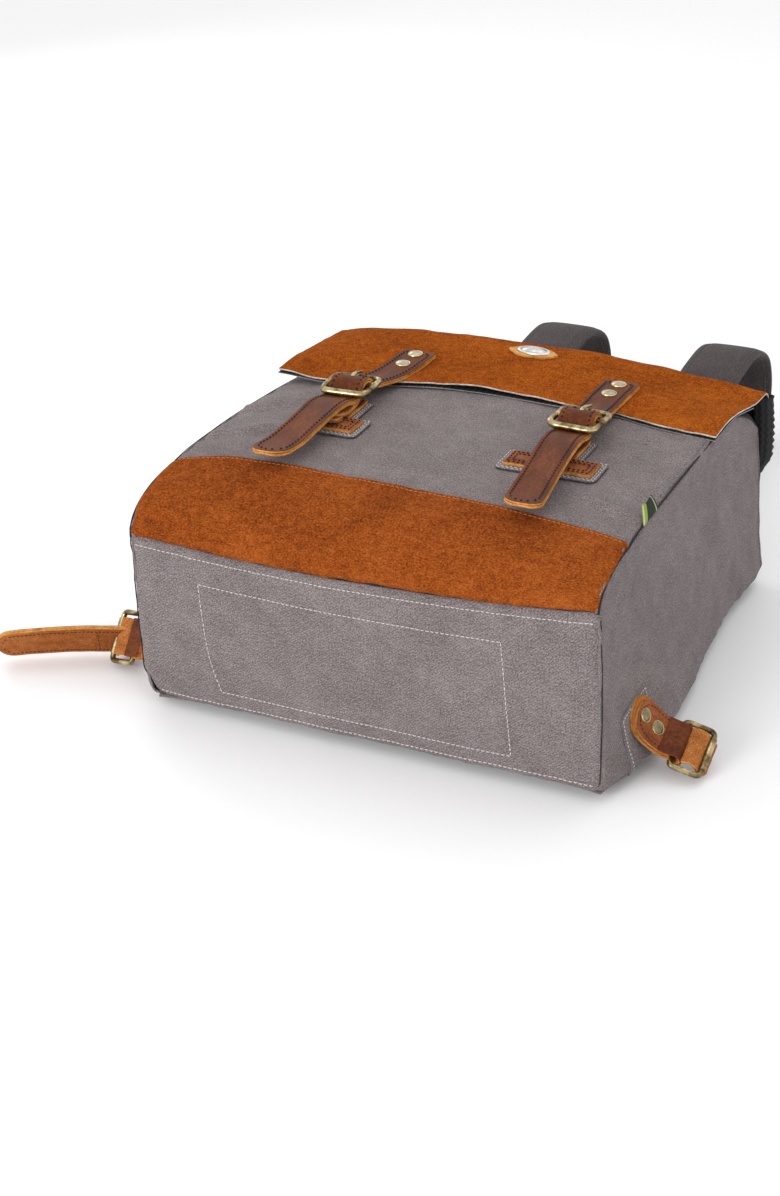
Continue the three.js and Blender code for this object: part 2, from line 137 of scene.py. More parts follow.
def curve(knots, step=1.0):
    """A smooth curve through knots, resampled evenly."""
    knots = np.asarray(knots, float)
    along = lengths(knots)
    fine = np.linspace(0, along[-1], 40 * len(knots))
    dense = np.stack([spline(list(zip(along, knots[:, k])))(fine) for k in range(knots.shape[1])], axis=1)
    total = lengths(dense)[-1]
    return resample(dense, np.linspace(0, total, max(3, int(round(total / step)) + 1)))


def stations(length, step, edge=3.0):
    """Distances from 0 to length, closer together near both ends."""
    near = np.array([0, 0.15, 0.35, 0.65, 1.0]) * edge
    middle = np.linspace(edge, length - edge, max(2, int(round((length - 2 * edge) / step)) + 1))
    return np.concatenate([near[:-1], middle, (length - near[:-1])[::-1]])


def waves(seed, wavelength, count=10, stretch=(1, 1, 1)):
    """A smooth uneven field of about -1 to 1 over points in mm."""
    rng = np.random.default_rng(seed)
    directions = rng.normal(size=(count, 3))
    directions /= np.linalg.norm(directions, axis=1)[:, None]
    k = directions * (2 * math.pi / (wavelength * rng.uniform(0.6, 1.6, count)))[:, None] / np.array(stretch)
    phase = rng.uniform(0, 2 * math.pi, count)

    def field(p):
        return np.sin(p @ k.T + phase).sum(-1) / math.sqrt(count)
    return field


def crease(p, start, end, width, depth):
    """Height of a soft fold along the line from start to end, over points p in mm."""
    a, b = np.array(start, float), np.array(end, float)
    t = ((p - a) @ (b - a)) / ((b - a) @ (b - a))
    foot = a + np.clip(t, 0, 1)[..., None] * (b - a)
    gap = np.linalg.norm(p - foot, axis=-1)
    fade = smooth(t / 0.3 + 0.3) * smooth((1 - t) / 0.3 + 0.3)
    return depth * np.exp(-(gap / width) ** 2) * fade


# ---------------------------------------------------------------- materials

class Shader:
    """Builds one procedural material. Texture coordinates are UVs in metres."""

    def __init__(self, name, **sockets):
        self.mat = bpy.data.materials.new(name)
        self.mat.use_nodes = True
        self.tree = self.mat.node_tree
        self.bsdf = next(n for n in self.tree.nodes if n.type == "BSDF_PRINCIPLED")
        for key, value in sockets.items():
            self.bsdf.inputs[key.replace("_", " ")].default_value = value

    def node(self, kind, inputs, **props):
        made = self.tree.nodes.new(kind)
        for key, value in props.items():
            setattr(made, key, value)
        for key, value in inputs.items():
            if isinstance(value, bpy.types.NodeSocket):
                self.tree.links.new(value, made.inputs[key])
            else:
                made.inputs[key].default_value = value
        return made

    def coords(self, scale=(1, 1, 1), turn=0.0, source="UV"):
        base = self.node("ShaderNodeTexCoord", {})
        mapped = self.node("ShaderNodeMapping", {
            "Vector": base.outputs[source], "Scale": scale, "Rotation": (0, 0, turn)})
        return mapped.outputs[0]

    def noise(self, vector, scale, detail=3.0, rough=0.55, distortion=0.0):
        return self.node("ShaderNodeTexNoise", {
            "Vector": vector, "Scale": scale, "Detail": detail, "Roughness": rough,
            "Distortion": distortion}).outputs["Fac"]

    def bands(self, vector, period, distortion=0.0, detail=1.0, direction="X"):
        """Stripes of the given period in metres."""
        return self.node("ShaderNodeTexWave", {
            "Vector": vector, "Scale": math.pi / 10 / period, "Distortion": distortion,
            "Detail": detail, "Detail Scale": 2.0}, bands_direction=direction).outputs["Fac"]

    def cells(self, vector, scale, randomness=1.0):
        return self.node("ShaderNodeTexVoronoi", {
            "Vector": vector, "Scale": scale, "Randomness": randomness}).outputs["Distance"]

    def ramp(self, fac, stops):
        made = self.node("ShaderNodeValToRGB", {"Fac": fac})
        elements = made.color_ramp.elements
        while len(elements) < len(stops):
            elements.new(0.5)
        for element, (place, colour) in zip(elements, stops):
            element.position = place
            element.color = (*colour, 1) if len(colour) == 3 else colour
        return made.outputs["Color"]

    def mix(self, fac, a, b, blend="MIX"):
        made = self.node("ShaderNodeMix", {}, data_type="RGBA", blend_type=blend)
        for socket, value in ((made.inputs[0], fac), (made.inputs[6], a), (made.inputs[7], b)):
            if isinstance(value, bpy.types.NodeSocket):
                self.tree.links.new(value, socket)
            else:
                socket.default_value = value if isinstance(value, float) else (*value, 1)
        return made.outputs[2]

    def add(self, *weighted):
        """A weighted sum of values."""
        total = None
        for value, weight in weighted:
            part = self.node("ShaderNodeMath", {0: value, 1: weight}, operation="MULTIPLY").outputs[0]
            total = part if total is None else self.node(
                "ShaderNodeMath", {0: total, 1: part}, operation="ADD").outputs[0]
        return total

    def finish(self, colour=None, rough=None, height=None, distance=0.0004, strength=0.6):
        for socket, value in (("Base Color", colour), ("Roughness", rough)):
            if value is not None:
                self.tree.links.new(value, self.bsdf.inputs[socket])
        if height is not None:
            bump = self.node("ShaderNodeBump", {"Height": height, "Distance": distance, "Strength": strength})
            self.tree.links.new(bump.outputs[0], self.bsdf.inputs["Normal"])
        return self.mat


def grey(v):
    return (v, v, v)


def canvas_material(name, dark, mid, light, weave=0.0015):
    s = Shader(name, Roughness=0.92, Specular_IOR_Level=0.16, Sheen_Weight=0.06, Sheen_Roughness=0.5)
    uv = s.coords()
    wash = s.noise(uv, 15, 4, 0.6, 0.5)
    cloud = s.noise(uv, 75, 3, 0.6, 0.3)
    slub = s.noise(s.coords((1, 5, 1)), 160, 3, 0.65)
    heather = s.noise(uv, 950, 2, 0.8)
    tone = s.add((wash, 0.11), (cloud, 0.10), (slub, 0.16), (heather, 0.63))
    colour = s.ramp(tone, [(0.40, dark), (0.5, mid), (0.60, light)])
    twill = s.bands(s.coords(turn=math.radians(52)), weave, 1.6, 2)
    cross = s.bands(s.coords(turn=math.radians(-38)), weave * 0.8, 1.6, 2)
    threads = s.add((twill, 0.65), (cross, 0.35))
    colour = s.mix(0.45, colour, s.ramp(threads, [(0.15, grey(0.45)), (0.8, grey(1.0))]), "MULTIPLY")
    return s.finish(colour, None, s.add((threads, 0.7), (heather, 0.6), (slub, 0.4)), 0.00045, 0.6)


def suede_material(name, deep, mid, bright, nap_scale=700):
    s = Shader(name, Roughness=0.97, Specular_IOR_Level=0.02, Sheen_Weight=0.02, Sheen_Roughness=0.4,
               Sheen_Tint=(1.0, 0.55, 0.3, 1))
    uv = s.coords()
    patches = s.noise(uv, 20, 4, 0.6, 0.6)
    mottle = s.noise(uv, 190, 4, 0.7, 0.3)
    nap = s.noise(uv, nap_scale, 3, 0.8)
    pits = s.noise(uv, nap_scale * 1.7, 2, 0.6)
    tone = s.add((patches, 0.16), (mottle, 0.20), (nap, 0.44), (pits, 0.20))
    colour = s.ramp(tone, [(0.41, deep), (0.5, mid), (0.59, bright)])
    return s.finish(colour, None, s.add((nap, 0.8), (mottle, 0.5)), 0.0009, 0.75)


def leather_material(name, dark, mid, light, rough=0.5):
    s = Shader(name, Specular_IOR_Level=0.15)
    uv = s.coords()
    stretch = s.noise(s.coords((1, 3, 1)), 22, 4, 0.6, 0.5)
    grain = s.cells(uv, 900.0)
    fine = s.noise(uv, 520, 3, 0.7)
    tone = s.add((stretch, 0.62), (fine, 0.38))
    colour = s.ramp(tone, [(0.36, dark), (0.5, mid), (0.64, light)])
    gloss = s.ramp(tone, [(0.35, grey(rough - 0.1)), (0.65, grey(rough + 0.12))])
    return s.finish(colour, gloss, s.add((grain, 0.5), (fine, 0.7), (stretch, 0.6)), 0.00035, 0.5)


def raw_edge_material(name, dark, light):
    s = Shader(name, Roughness=0.85, Specular_IOR_Level=0.15)
    where = s.coords(source="Object")
    fuzz = s.noise(where, 700, 3, 0.7)
    blotch = s.noise(where, 110, 3, 0.6)
    tone = s.add((fuzz, 0.5), (blotch, 0.5))
    return s.finish(s.ramp(tone, [(0.36, dark), (0.6, light)]), None, fuzz, 0.0006, 0.7)


def metal_material(name, pit, body, bright, rough=0.34):
    s = Shader(name, Metallic=1.0)
    where = s.coords(source="Object")
    tarnish = s.noise(where, 110, 4, 0.6, 0.3)
    scratch = s.noise(where, 1400, 2, 0.6)
    edge = s.node("ShaderNodeNewGeometry", {}).outputs["Pointiness"]
    worn = s.ramp(edge, [(0.49, grey(0)), (0.56, grey(1))])
    colour = s.ramp(tarnish, [(0.30, pit), (0.46, body), (0.70, bright)])
    colour = s.mix(worn, colour, bright)
    wear = s.add((tarnish, 0.7), (scratch, 0.3))
    gloss = s.ramp(wear, [(0.3, grey(rough + 0.16)), (0.7, grey(rough - 0.12))])
    return s.finish(colour, gloss, s.add((scratch, 0.5), (tarnish, 0.5)), 0.00004, 0.2)


def thread_material(name, colour, shade):
    s = Shader(name, Roughness=0.7, Specular_IOR_Level=0.25)
    twist = s.bands(s.coords(source="Object", turn=0.7), 0.0007, 2.0, 1)
    return s.finish(s.ramp(twist, [(0.2, shade), (0.8, colour)]), None, twist, 0.0002, 0.4)


def lining_material(name, dark, light, rib=0.0042):
    s = Shader(name, Roughness=0.7, Specular_IOR_Level=0.3)
    ribs = s.bands(s.coords(), rib, 0.6, 1)
    fine = s.noise(s.coords(), 800, 2, 0.6)
    colour = s.ramp(s.add((ribs, 0.35), (fine, 0.65)), [(0.25, dark), (0.75, light)])
    return s.finish(colour, None, s.add((ribs, 0.6), (fine, 0.4)), 0.0005, 0.5)


def mesh_material(name):
    s = Shader(name, Roughness=0.85, Specular_IOR_Level=0.2)
    depth = s.cells(s.coords(), 330.0, 0.15)
    # the holes in the middle of each cell are darker: painted shade down in them
    colour = s.ramp(depth, [(0.25, grey(0.006)), (0.5, (0.03, 0.03, 0.032))])
    return s.finish(colour, None, depth, 0.0012, 0.9)


CANVAS = canvas_material("washed_canvas", (0.098, 0.080, 0.080), (0.196, 0.162, 0.162), (0.322, 0.276, 0.276))
CANVAS_DARK = canvas_material(
    "strap_canvas", (0.035, 0.029, 0.029), (0.072, 0.059, 0.060), (0.120, 0.100, 0.102))
CANVAS_PALE = canvas_material("folded_canvas", (0.20, 0.18, 0.185), (0.32, 0.30, 0.305), (0.50, 0.48, 0.485))
SUEDE_RIM = raw_edge_material("suede_rim", (0.34, 0.29, 0.24), (0.74, 0.69, 0.62))
SUEDE = suede_material("cognac_suede", (0.095, 0.018, 0.002), (0.280, 0.060, 0.0050), (0.48, 0.132, 0.015))
SUEDE_BAND = suede_material("rust_suede", (0.085, 0.017, 0.003), (0.245, 0.055, 0.009), (0.41, 0.110, 0.022))
SUEDE_RAW = suede_material("raw_suede", (0.22, 0.065, 0.015), (0.45, 0.16, 0.045), (0.66, 0.30, 0.11), 1300)
SUEDE_TAIL = suede_material(
    "brown_suede", (0.15, 0.042, 0.010), (0.32, 0.098, 0.026), (0.48, 0.19, 0.065), 1100)
LEATHER = leather_material(
    "oiled_leather", (0.044, 0.010, 0.003), (0.112, 0.026, 0.0065), (0.22, 0.066, 0.020))
LEATHER_RED = leather_material(
    "tab_leather", (0.13, 0.030, 0.009), (0.26, 0.075, 0.022), (0.42, 0.15, 0.05), 0.6)
EDGE = raw_edge_material("raw_edge", (0.32, 0.11, 0.020), (0.70, 0.34, 0.095))
BADGE_LEATHER = raw_edge_material("badge_leather", (0.38, 0.17, 0.045), (0.66, 0.37, 0.14))
BRASS = metal_material("antique_brass", (0.040, 0.028, 0.014), (0.22, 0.165, 0.080), (0.78, 0.64, 0.36), 0.30)
BRASS_DARK = metal_material(
    "dark_brass", (0.020, 0.015, 0.008), (0.11, 0.085, 0.040), (0.42, 0.34, 0.19), 0.30)
RIVET = metal_material("antique_rivet", (0.09, 0.075, 0.05), (0.30, 0.26, 0.18), (0.66, 0.60, 0.46), 0.36)
PEWTER = metal_material("badge_metal", (0.10, 0.098, 0.092), (0.40, 0.385, 0.36), (0.80, 0.79, 0.76), 0.28)
LINING = lining_material("dark_lining", (0.006, 0.006, 0.007), (0.030, 0.029, 0.031))
PAD_MESH = mesh_material("spacer_mesh")
BOARD = raw_edge_material("stiff_board", (0.30, 0.24, 0.16), (0.45, 0.38, 0.27))
THREAD_WHITE = thread_material("white_thread", (0.72, 0.69, 0.66), (0.45, 0.42, 0.40))
THREAD_GREY = thread_material("grey_thread", (0.20, 0.175, 0.175), (0.10, 0.085, 0.085))
THREAD_DARK = thread_material("dark_thread", (0.060, 0.020, 0.010), (0.014, 0.005, 0.003))
THREAD_RUST = thread_material("rust_thread", (0.62, 0.22, 0.06), (0.30, 0.09, 0.02))
# near-black seam tubes: painted shadow down in the seams
SEAM_SHADE = thread_material("seam_shadow", (0.022, 0.018, 0.019), (0.008, 0.007, 0.007))


def label_material():
    """Plain dark green cloth with a lime stripe at one end and a thin pale one at the other."""
    s = Shader("woven_label", Roughness=0.75, Specular_IOR_Level=0.2)
    along = s.node("ShaderNodeSeparateXYZ", {"Vector": s.coords((43.5, 1, 1))}).outputs["X"]
    dark, lime, pale = (0.012, 0.026, 0.010), (0.30, 0.36, 0.06), (0.50, 0.56, 0.34)
    stripes = [(0.0, pale), (0.05, lime), (0.2, lime), (0.24, dark), (0.84, dark), (0.88, pale), (0.94, dark)]
    weave = s.bands(s.coords(), 0.0006, 0.4, 1)
    return s.finish(s.ramp(along, stripes), None, weave, 0.0003, 0.5)


LABEL = label_material()


# ---------------------------------------------------------------- mesh building

def new_piece(name, verts, faces, uvs, slots, mats, sharp=50):
    """A mesh object from points in metres. uvs holds one pair per face corner, slots one index per face."""
    mesh = bpy.data.meshes.new(name)
    mesh.from_pydata([tuple(v) for v in verts], [], [tuple(f) for f in faces])
    layer = mesh.uv_layers.new(name="UVMap")
    if uvs is not None:
        layer.data.foreach_set("uv", np.asarray(uvs, np.float32).ravel())
    for mat in mats:
        mesh.materials.append(mat)
    mesh.polygons.foreach_set("material_index", np.asarray(slots, np.int32))
    mesh.polygons.foreach_set("use_smooth", np.ones(len(faces), bool))
    mesh.update()
    mesh.set_sharp_from_angle(angle=math.radians(sharp))
    piece = bpy.data.objects.new(name, mesh)
    bpy.context.scene.collection.objects.link(piece)
    return piece


class Surface:
    """A grid of points in mm over distances u and v in mm. Its normals point out of the object."""

    def __init__(self, points, u, v):
        self.p = np.asarray(points, float)
        self.u, self.v = np.asarray(u, float), np.asarray(v, float)
        self.settle()

    def settle(self):
        n = np.cross(np.gradient(self.p, axis=0), np.gradient(self.p, axis=1))
        self.n = n / np.maximum(np.linalg.norm(n, axis=2), 1e-9)[..., None]

    def lift(self, height):
        self.p = self.p + self.n * np.broadcast_to(height, self.p.shape[:2])[..., None]
        self.settle()
        return self

    def at(self, u, v, height=0.0):
        """Points and normals at the given distances."""
        u, v = np.broadcast_arrays(np.asarray(u, float), np.asarray(v, float))
        i = np.clip(np.searchsorted(self.u, u) - 1, 0, len(self.u) - 2)
        j = np.clip(np.searchsorted(self.v, v) - 1, 0, len(self.v) - 2)
        s = np.clip((u - self.u[i]) / (self.u[i + 1] - self.u[i]), 0, 1)[..., None]
        t = np.clip((v - self.v[j]) / (self.v[j + 1] - self.v[j]), 0, 1)[..., None]

        def blend(a):
            return ((1 - s) * (1 - t) * a[i, j] + s * (1 - t) * a[i + 1, j]
                    + (1 - s) * t * a[i, j + 1] + s * t * a[i + 1, j + 1])
        normal = blend(self.n)
        normal /= np.linalg.norm(normal, axis=-1)[..., None]
        return blend(self.p) + normal * height, normal

    def borders(self):
        """Distance in mm to the sides u=0, u=end, v=0 and v=end."""
        u, v = np.meshgrid(self.u, self.v, indexing="ij")
        return u, self.u[-1] - u, v, self.v[-1] - v


def sheet_faces(nu, nv):
    """The quads of a grid's upper side, its underside and its rim. The underside's points come second."""
    index = np.arange(nu * nv).reshape(nu, nv)
    top = np.stack([index[:-1, :-1], index[1:, :-1], index[1:, 1:], index[:-1, 1:]], -1).reshape(-1, 4)
    ring = np.concatenate([index[:, 0], index[-1, 1:], index[-2::-1, -1], index[0, -2:0:-1]])
    following = np.roll(ring, -1)
    rim = np.stack([ring, ring + nu * nv, following + nu * nv, following], -1)
    return top, top[:, ::-1] + nu * nv, rim


def ring_faces(rings, sides, closed=False, start=0):
    """The quads between rings of points, and two end caps if the run isn't closed."""
    faces = []
    for i in range(rings if closed else rings - 1):
        here, there = start + i * sides, start + (i + 1) % rings * sides
        for k in range(sides):
            m = (k + 1) % sides
            faces.append((here + k, here + m, there + m, there + k))
    if not closed:
        faces.append(tuple(start + k for k in range(sides - 1, -1, -1)))
        faces.append(tuple(start + (rings - 1) * sides + k for k in range(sides)))
    return faces


def shell(name, surface, thickness, mats, chamfer=0.3):
    """A closed thin sheet: the surface, its underside and its rim. mats are those three."""
    p, n = surface.p, surface.n
    drop = np.zeros(p.shape[:2])
    drop[[0, -1], :] = chamfer
    drop[:, [0, -1]] = chamfer
    outer = p - n * (thickness * drop)[..., None]
    inner = p - n * (thickness * (1 - drop))[..., None]
    verts = np.concatenate([outer.reshape(-1, 3), inner.reshape(-1, 3)]) * MM
    parts = sheet_faces(*p.shape[:2])
    faces = np.concatenate(parts)
    gu, gv = np.meshgrid(surface.u, surface.v, indexing="ij")
    flat = np.stack([gu.ravel(), gv.ravel()], -1)
    flat = np.concatenate([flat, flat + [thickness, thickness]]) * MM
    slots = np.repeat([0, 1, 2], [len(part) for part in parts])
    return new_piece(name, verts, faces, flat[faces.ravel()], slots, mats)


def frames_along(points, closed):
    """Tangent, side and up directions along a path, turning as little as possible."""
    points = np.asarray(points, float)
    if closed:
        tangent = np.roll(points, -1, 0) - np.roll(points, 1, 0)
    else:
        tangent = np.gradient(points, axis=0)
    tangent /= np.linalg.norm(tangent, axis=1)[:, None]
    seed = np.array([0, 0, 1.0]) if abs(tangent[0][2]) < 0.8 else np.array([1.0, 0, 0])
    ups = []
    for t in tangent:
        seed = seed - t * (seed @ t)
        seed /= np.linalg.norm(seed)
        ups.append(seed)
    ups = np.array(ups)
    return tangent, np.cross(tangent, ups), ups


def tube(name, points, radius, mat, sides=10, closed=False, flatten=1.0):
    """A round bar along a path in mm. radius may vary along it."""
    points = np.asarray(points, float)
    _, side, up = frames_along(points, closed)
    radii = np.broadcast_to(np.asarray(radius, float), len(points))[:, None, None]
    angle = np.linspace(0, 2 * math.pi, sides, endpoint=False)
    around = (np.sin(angle) * flatten)[None, :, None]
    ring = side[:, None] * np.cos(angle)[None, :, None] + up[:, None] * around
    verts = (points[:, None] + ring * radii).reshape(-1, 3) * MM
    faces = ring_faces(len(points), sides, closed)
    return new_piece(name, verts, faces, None, np.zeros(len(faces)), [mat])


def lathe(name, profile, matrix, mats, bands=None, sides=28):
    """A turned piece. Its profile of (radius, height) in mm runs from the rim of its base to its top."""
    angle = np.linspace(0, 2 * math.pi, sides, endpoint=False)
    verts = [(r * math.cos(a), r * math.sin(a), h) for r, h in profile for a in angle]
    faces = ring_faces(len(profile), sides)
    slots = list(np.repeat(bands or [0] * (len(profile) - 1), sides)) + [0, 0]
    placed = [(matrix @ Vector(v)) * MM for v in verts]
    return new_piece(name, placed, faces, None, slots, mats, 60)


def rounded(points, radius, steps=5):
    """An outline with its corners rounded. radius is one number or one for each corner."""
    points = np.asarray(points, float)
    radii = np.broadcast_to(radius, len(points))
    out = []
    for k, corner in enumerate(points):
        before, after = points[k - 1], points[(k + 1) % len(points)]
        a = (before - corner) / np.linalg.norm(before - corner)
        b = (after - corner) / np.linalg.norm(after - corner)
        if radii[k] <= 0:
            out.append(corner)
            continue
        for t in np.linspace(0, 1, steps + 1):
            s, e = corner + a * radii[k], corner + b * radii[k]
            out.append((1 - t) ** 2 * s + 2 * t * (1 - t) * corner + t * t * e)
    return np.array(out)


def inset(points, distance):
    """An outline moved inwards. Its points run anticlockwise."""
    points = np.asarray(points, float)
    ahead = np.roll(points, -1, 0) - points
    ahead /= np.linalg.norm(ahead, axis=1)[:, None]
    normal = np.stack([-ahead[:, 1], ahead[:, 0]], -1)
    both = normal + np.roll(normal, 1, 0)
    scale = distance * 2 / np.maximum((both ** 2).sum(1), 0.4)
    return points + both * scale[:, None]


def plate(name, outline, z0, z1, mats, bevel=0.45, place=None, rough=0.0, seed=1):
    """A flat cut piece with softened edges. mats are its faces and its cut edge."""
    outline = np.asarray(outline, float)
    if rough:
        closed = np.vstack([outline, outline[:1]])
        total = lengths(closed)[-1]
        outline = resample(closed, np.linspace(0, total, int(total / 1.6), endpoint=False))
        rng = np.random.default_rng(seed)
        outline = outline + rng.normal(0, rough, outline.shape)
    bm = bmesh.new()
    base = bm.faces.new([bm.verts.new((x, y, z0)) for x, y in outline])
    base.normal_update()
    if base.normal.z > 0:
        base.normal_flip()
    made = bmesh.ops.extrude_face_region(bm, geom=[base])
    raised = [v for v in made["geom"] if isinstance(v, bmesh.types.BMVert)]
    bmesh.ops.translate(bm, vec=(0, 0, z1 - z0), verts=raised)
    bm.faces.ensure_lookup_table()
    bmesh.ops.recalc_face_normals(bm, faces=bm.faces)
    edges = [e for e in bm.edges if abs(e.verts[0].co.z - e.verts[1].co.z) < 1e-6]
    bmesh.ops.bevel(bm, geom=edges, offset=bevel, segments=2, affect="EDGES", profile=0.6)
    layer = bm.loops.layers.uv.new("UVMap")
    for face in bm.faces:
        face.material_index = 0 if abs(face.normal.z) > 0.95 else 1
        face.smooth = True
        for loop in face.loops:
            loop[layer].uv = (loop.vert.co.x * MM, loop.vert.co.y * MM)
    if place is not None:
        for v in bm.verts:
            v.co = place(v.co)
    for v in bm.verts:
        v.co = v.co * MM
    mesh = bpy.data.meshes.new(name)
    bm.to_mesh(mesh)
    bm.free()
    for mat in mats:
        mesh.materials.append(mat)
    mesh.set_sharp_from_angle(angle=math.radians(60))
    piece = bpy.data.objects.new(name, mesh)
    bpy.context.scene.collection.objects.link(piece)
    return piece


def stitches(name, rows, mat, pitch=3.0, length=2.2, radius=0.28, sink=0.0):
    """Rows of small raised stitches. Each row is (points, normals) along a line in mm."""
    sides, spans = 6, 5
    angle = np.linspace(0, 2 * math.pi, sides, endpoint=False)
    verts, faces = [], []
    for points, normals in rows:
        along = lengths(points)
        count = max(1, int(along[-1] // pitch))
        centres = (np.arange(count) + 0.5) * along[-1] / count
        mid = resample(points, centres)
        after = resample(points, np.minimum(centres + 0.2, along[-1]))
        ahead = after - resample(points, np.maximum(centres - 0.2, 0))
        ahead /= np.linalg.norm(ahead, axis=1)[:, None]
        up = np.stack([np.interp(centres, along, normals[:, k]) for k in range(3)], axis=1)
        up -= ahead * (up * ahead).sum(1)[:, None]
        up /= np.linalg.norm(up, axis=1)[:, None]
        across = np.cross(ahead, up)
        for k in range(count):
            start = len(verts)
            for t in np.linspace(-1, 1, spans):
                swell = math.sqrt(max(0.12, 1 - t * t))
                rise = radius * (0.9 * (1 - t * t) - 0.35) - sink
                centre = mid[k] + ahead[k] * t * length / 2 + up[k] * rise
                for a in angle:
                    verts.append(centre + (across[k] * math.cos(a) + up[k] * math.sin(a)) * radius * swell)
            faces += ring_faces(spans, sides, False, start)
    return new_piece(name, np.array(verts) * MM, faces, None, np.zeros(len(faces)), [mat], 80)


def flat_row(outline, z, closed=True, place=None):
    """A stitch row along an outline in a flat piece's own plane."""
    points = np.asarray(outline, float)
    if closed:
        points = np.vstack([points, points[:1]])
    points = np.column_stack([points, np.full(len(points), z)])
    normals = np.tile([0.0, 0, 1], (len(points), 1))
    if place is not None:
        origin = np.array(place(Vector((0, 0, 0))))
        normals = np.array([np.array(place(Vector(n))) - origin for n in normals])
        points = np.array([place(Vector(p)) for p in points])
    return points, normals


def ribbon(path, half_width, across, step=1.5, edge=1.0, frame_matrix=None, tip=None, start=None):
    """The outer surface of a strap. path is its points in mm, across the direction of its width.
    tip and start are corner radii that round its far and near ends."""
    path = np.asarray(path, float)
    total = lengths(path)[-1]
    u = stations(total, step, 1.2)
    centre = resample(path, u)
    wide = np.full(len(u), float(half_width)) if np.isscalar(half_width) else half_width(u / total)
    for radius, gap in ((tip, total - u), (start, u)):
        if radius:
            inside = np.clip(radius - gap, 0, radius)
            round_off = np.sqrt(np.maximum(radius**2 - inside**2, 0.01)) - radius
            wide = np.where(gap < radius, wide + round_off, wide)
    half = wide.max()
    v = stations(2 * half, max(1.5, half / 5), edge)
    t = v / half - 1
    across = np.array(across, float)
    points = centre[:, None] + across * (wide[:, None] * t[None, :])[..., None]
    if frame_matrix is not None:
        flat = points.reshape(-1, 3) @ np.array(frame_matrix.to_3x3()).T + np.array(frame_matrix.translation)
        points = flat.reshape(points.shape)
    return Surface(points, u, v)


def attach(piece, body, slot_name, *nodes):
    """Says what a piece rides on and which CAD nodes it replaces. slot_name is not used."""
    if body:
        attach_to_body(piece, body)
    if nodes:
        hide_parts(*nodes)


def moved(matrix, points):
    return np.array([matrix @ Vector(p) for p in points])


def stitch_row(surface, track, count, height=0.12):
    """A stitch row along a bent line of (u, v) places on a surface."""
    track = np.asarray(track, float)
    line = resample(track, np.linspace(0, lengths(track)[-1], count))
    return surface.at(line[:, 0], line[:, 1], height)


def creased(folds, points, table, raised=1.0, sunk=1.0):
    """The heights in folds with creases added. The table gives each one's ends, width and depth in mm."""
    for start, end, width, depth in table:
        folds = folds + crease(points, start, end, width, depth * (raised if depth > 0 else sunk))
    return folds


# ---------------------------------------------------------------- the bag's shell

HALF = 150.0
MOUTH_Y = 146.0
BASE_Y = -146.0
FLOOR_EDGE_Z = 6.0
BAND_OVERLAP = 4
BAND_LENGTH = 86
BASE_LENGTH = 112
GUSSET_LENGTH = 142
BACK_LENGTH = 292
COLLAR_START = 188 / 234
edge_left = spline([
    (-110, 140.5), (-88, 144.5), (-40, 145), (0, 143), (40, 139.5), (80, 135), (125, 130), (148, 126)])
edge_right = spline([
    (-110, 142), (-88, 146), (-40, 147), (20, 147), (70, 146), (92, 143.5), (115, 135), (137, 121.5),
    (148, 110)])
centre_line = spline([(-110, 144), (-88, 146.3), (-40, 147.2), (40, 147.2), (100, 146.6), (148, 145.4)])
band_top = spline([
    (-152, -91), (-135, -86), (-120, -81), (-89, -78), (-43, -79), (13, -81), (65, -84), (111, -90),
    (152, -98)])
base_seam = spline([(-152, 118.6), (-90, 115.7), (-28, 114.5), (29, 115.8), (91, 119), (152, 124.7)])
floor_right = spline([
    (-148, 152), (-128, 160), (-100, 165.5), (-58, 167), (38, 158), (100, 154), (132, 158), (150, 157)])
floor_left = spline([(-148, 147), (-128, 153), (-100, 157), (-40, 159), (60, 157), (150, 156)])


def front_height(x, y):
    """Height of the front panel over the back, in mm."""
    side = np.where(x < 0, edge_left(y), edge_right(y))
    power = 7 - 4.4 * smooth((y - 30) / 90)
    return centre_line(y) - (centre_line(y) - side) * (np.abs(x) / HALF) ** power


def band_point(x, t):
    """A point of the lower front: t is 0 at the bottom seam and 1 at the band's top edge."""
    top_y = band_top(x)
    top_z = front_height(x, top_y)
    low_z = base_seam(x)
    angle = (1 - t) * math.pi / 2
    y = top_y + (BASE_Y - top_y) * np.sin(angle) ** 0.94
    z = low_z + (top_z - low_z) * np.cos(angle) ** 0.88
    return np.stack([np.broadcast_to(x, y.shape), y, z], -1)


def side_edge(x, count, mouth_y):
    """Points up the edge between the front and a side, from the bottom seam to the mouth."""
    low = band_point(np.full(count, x), np.linspace(0, 1, count))
    ys = np.linspace(low[-1][1] + 3, mouth_y, 60)
    high = np.stack([np.full(60, x), ys, front_height(np.full(60, x), ys)], -1)
    return np.vstack([low, high])


def sewn(surface, sides, drop=1.7, radius=4.0, pucker=0.35, seed=3):
    """Rolls the named sides in to their seams, with small puckers along them."""
    height = np.zeros(surface.p.shape[:2])
    gaps = dict(zip(("u0", "u1", "v0", "v1"), surface.borders()))
    ripple = waves(seed, 11, 12)(surface.p)
    for side in sides:
        gap = gaps[side]
        height -= drop * (1 - smooth(gap / radius)) ** 1.3
        height += pucker * ripple * np.exp(-gap / 11)
    return surface.lift(height)


width_stations = stations(2 * HALF, 3.2, 4)
xs = width_stations - HALF


def panel_grid(length, step, edge):
    """Distances along a panel, and the grid of its x and its share of the length."""
    v = stations(length, step, edge)
    gx, gt = np.meshgrid(xs, v / length, indexing="ij")
    return v, gx, gt


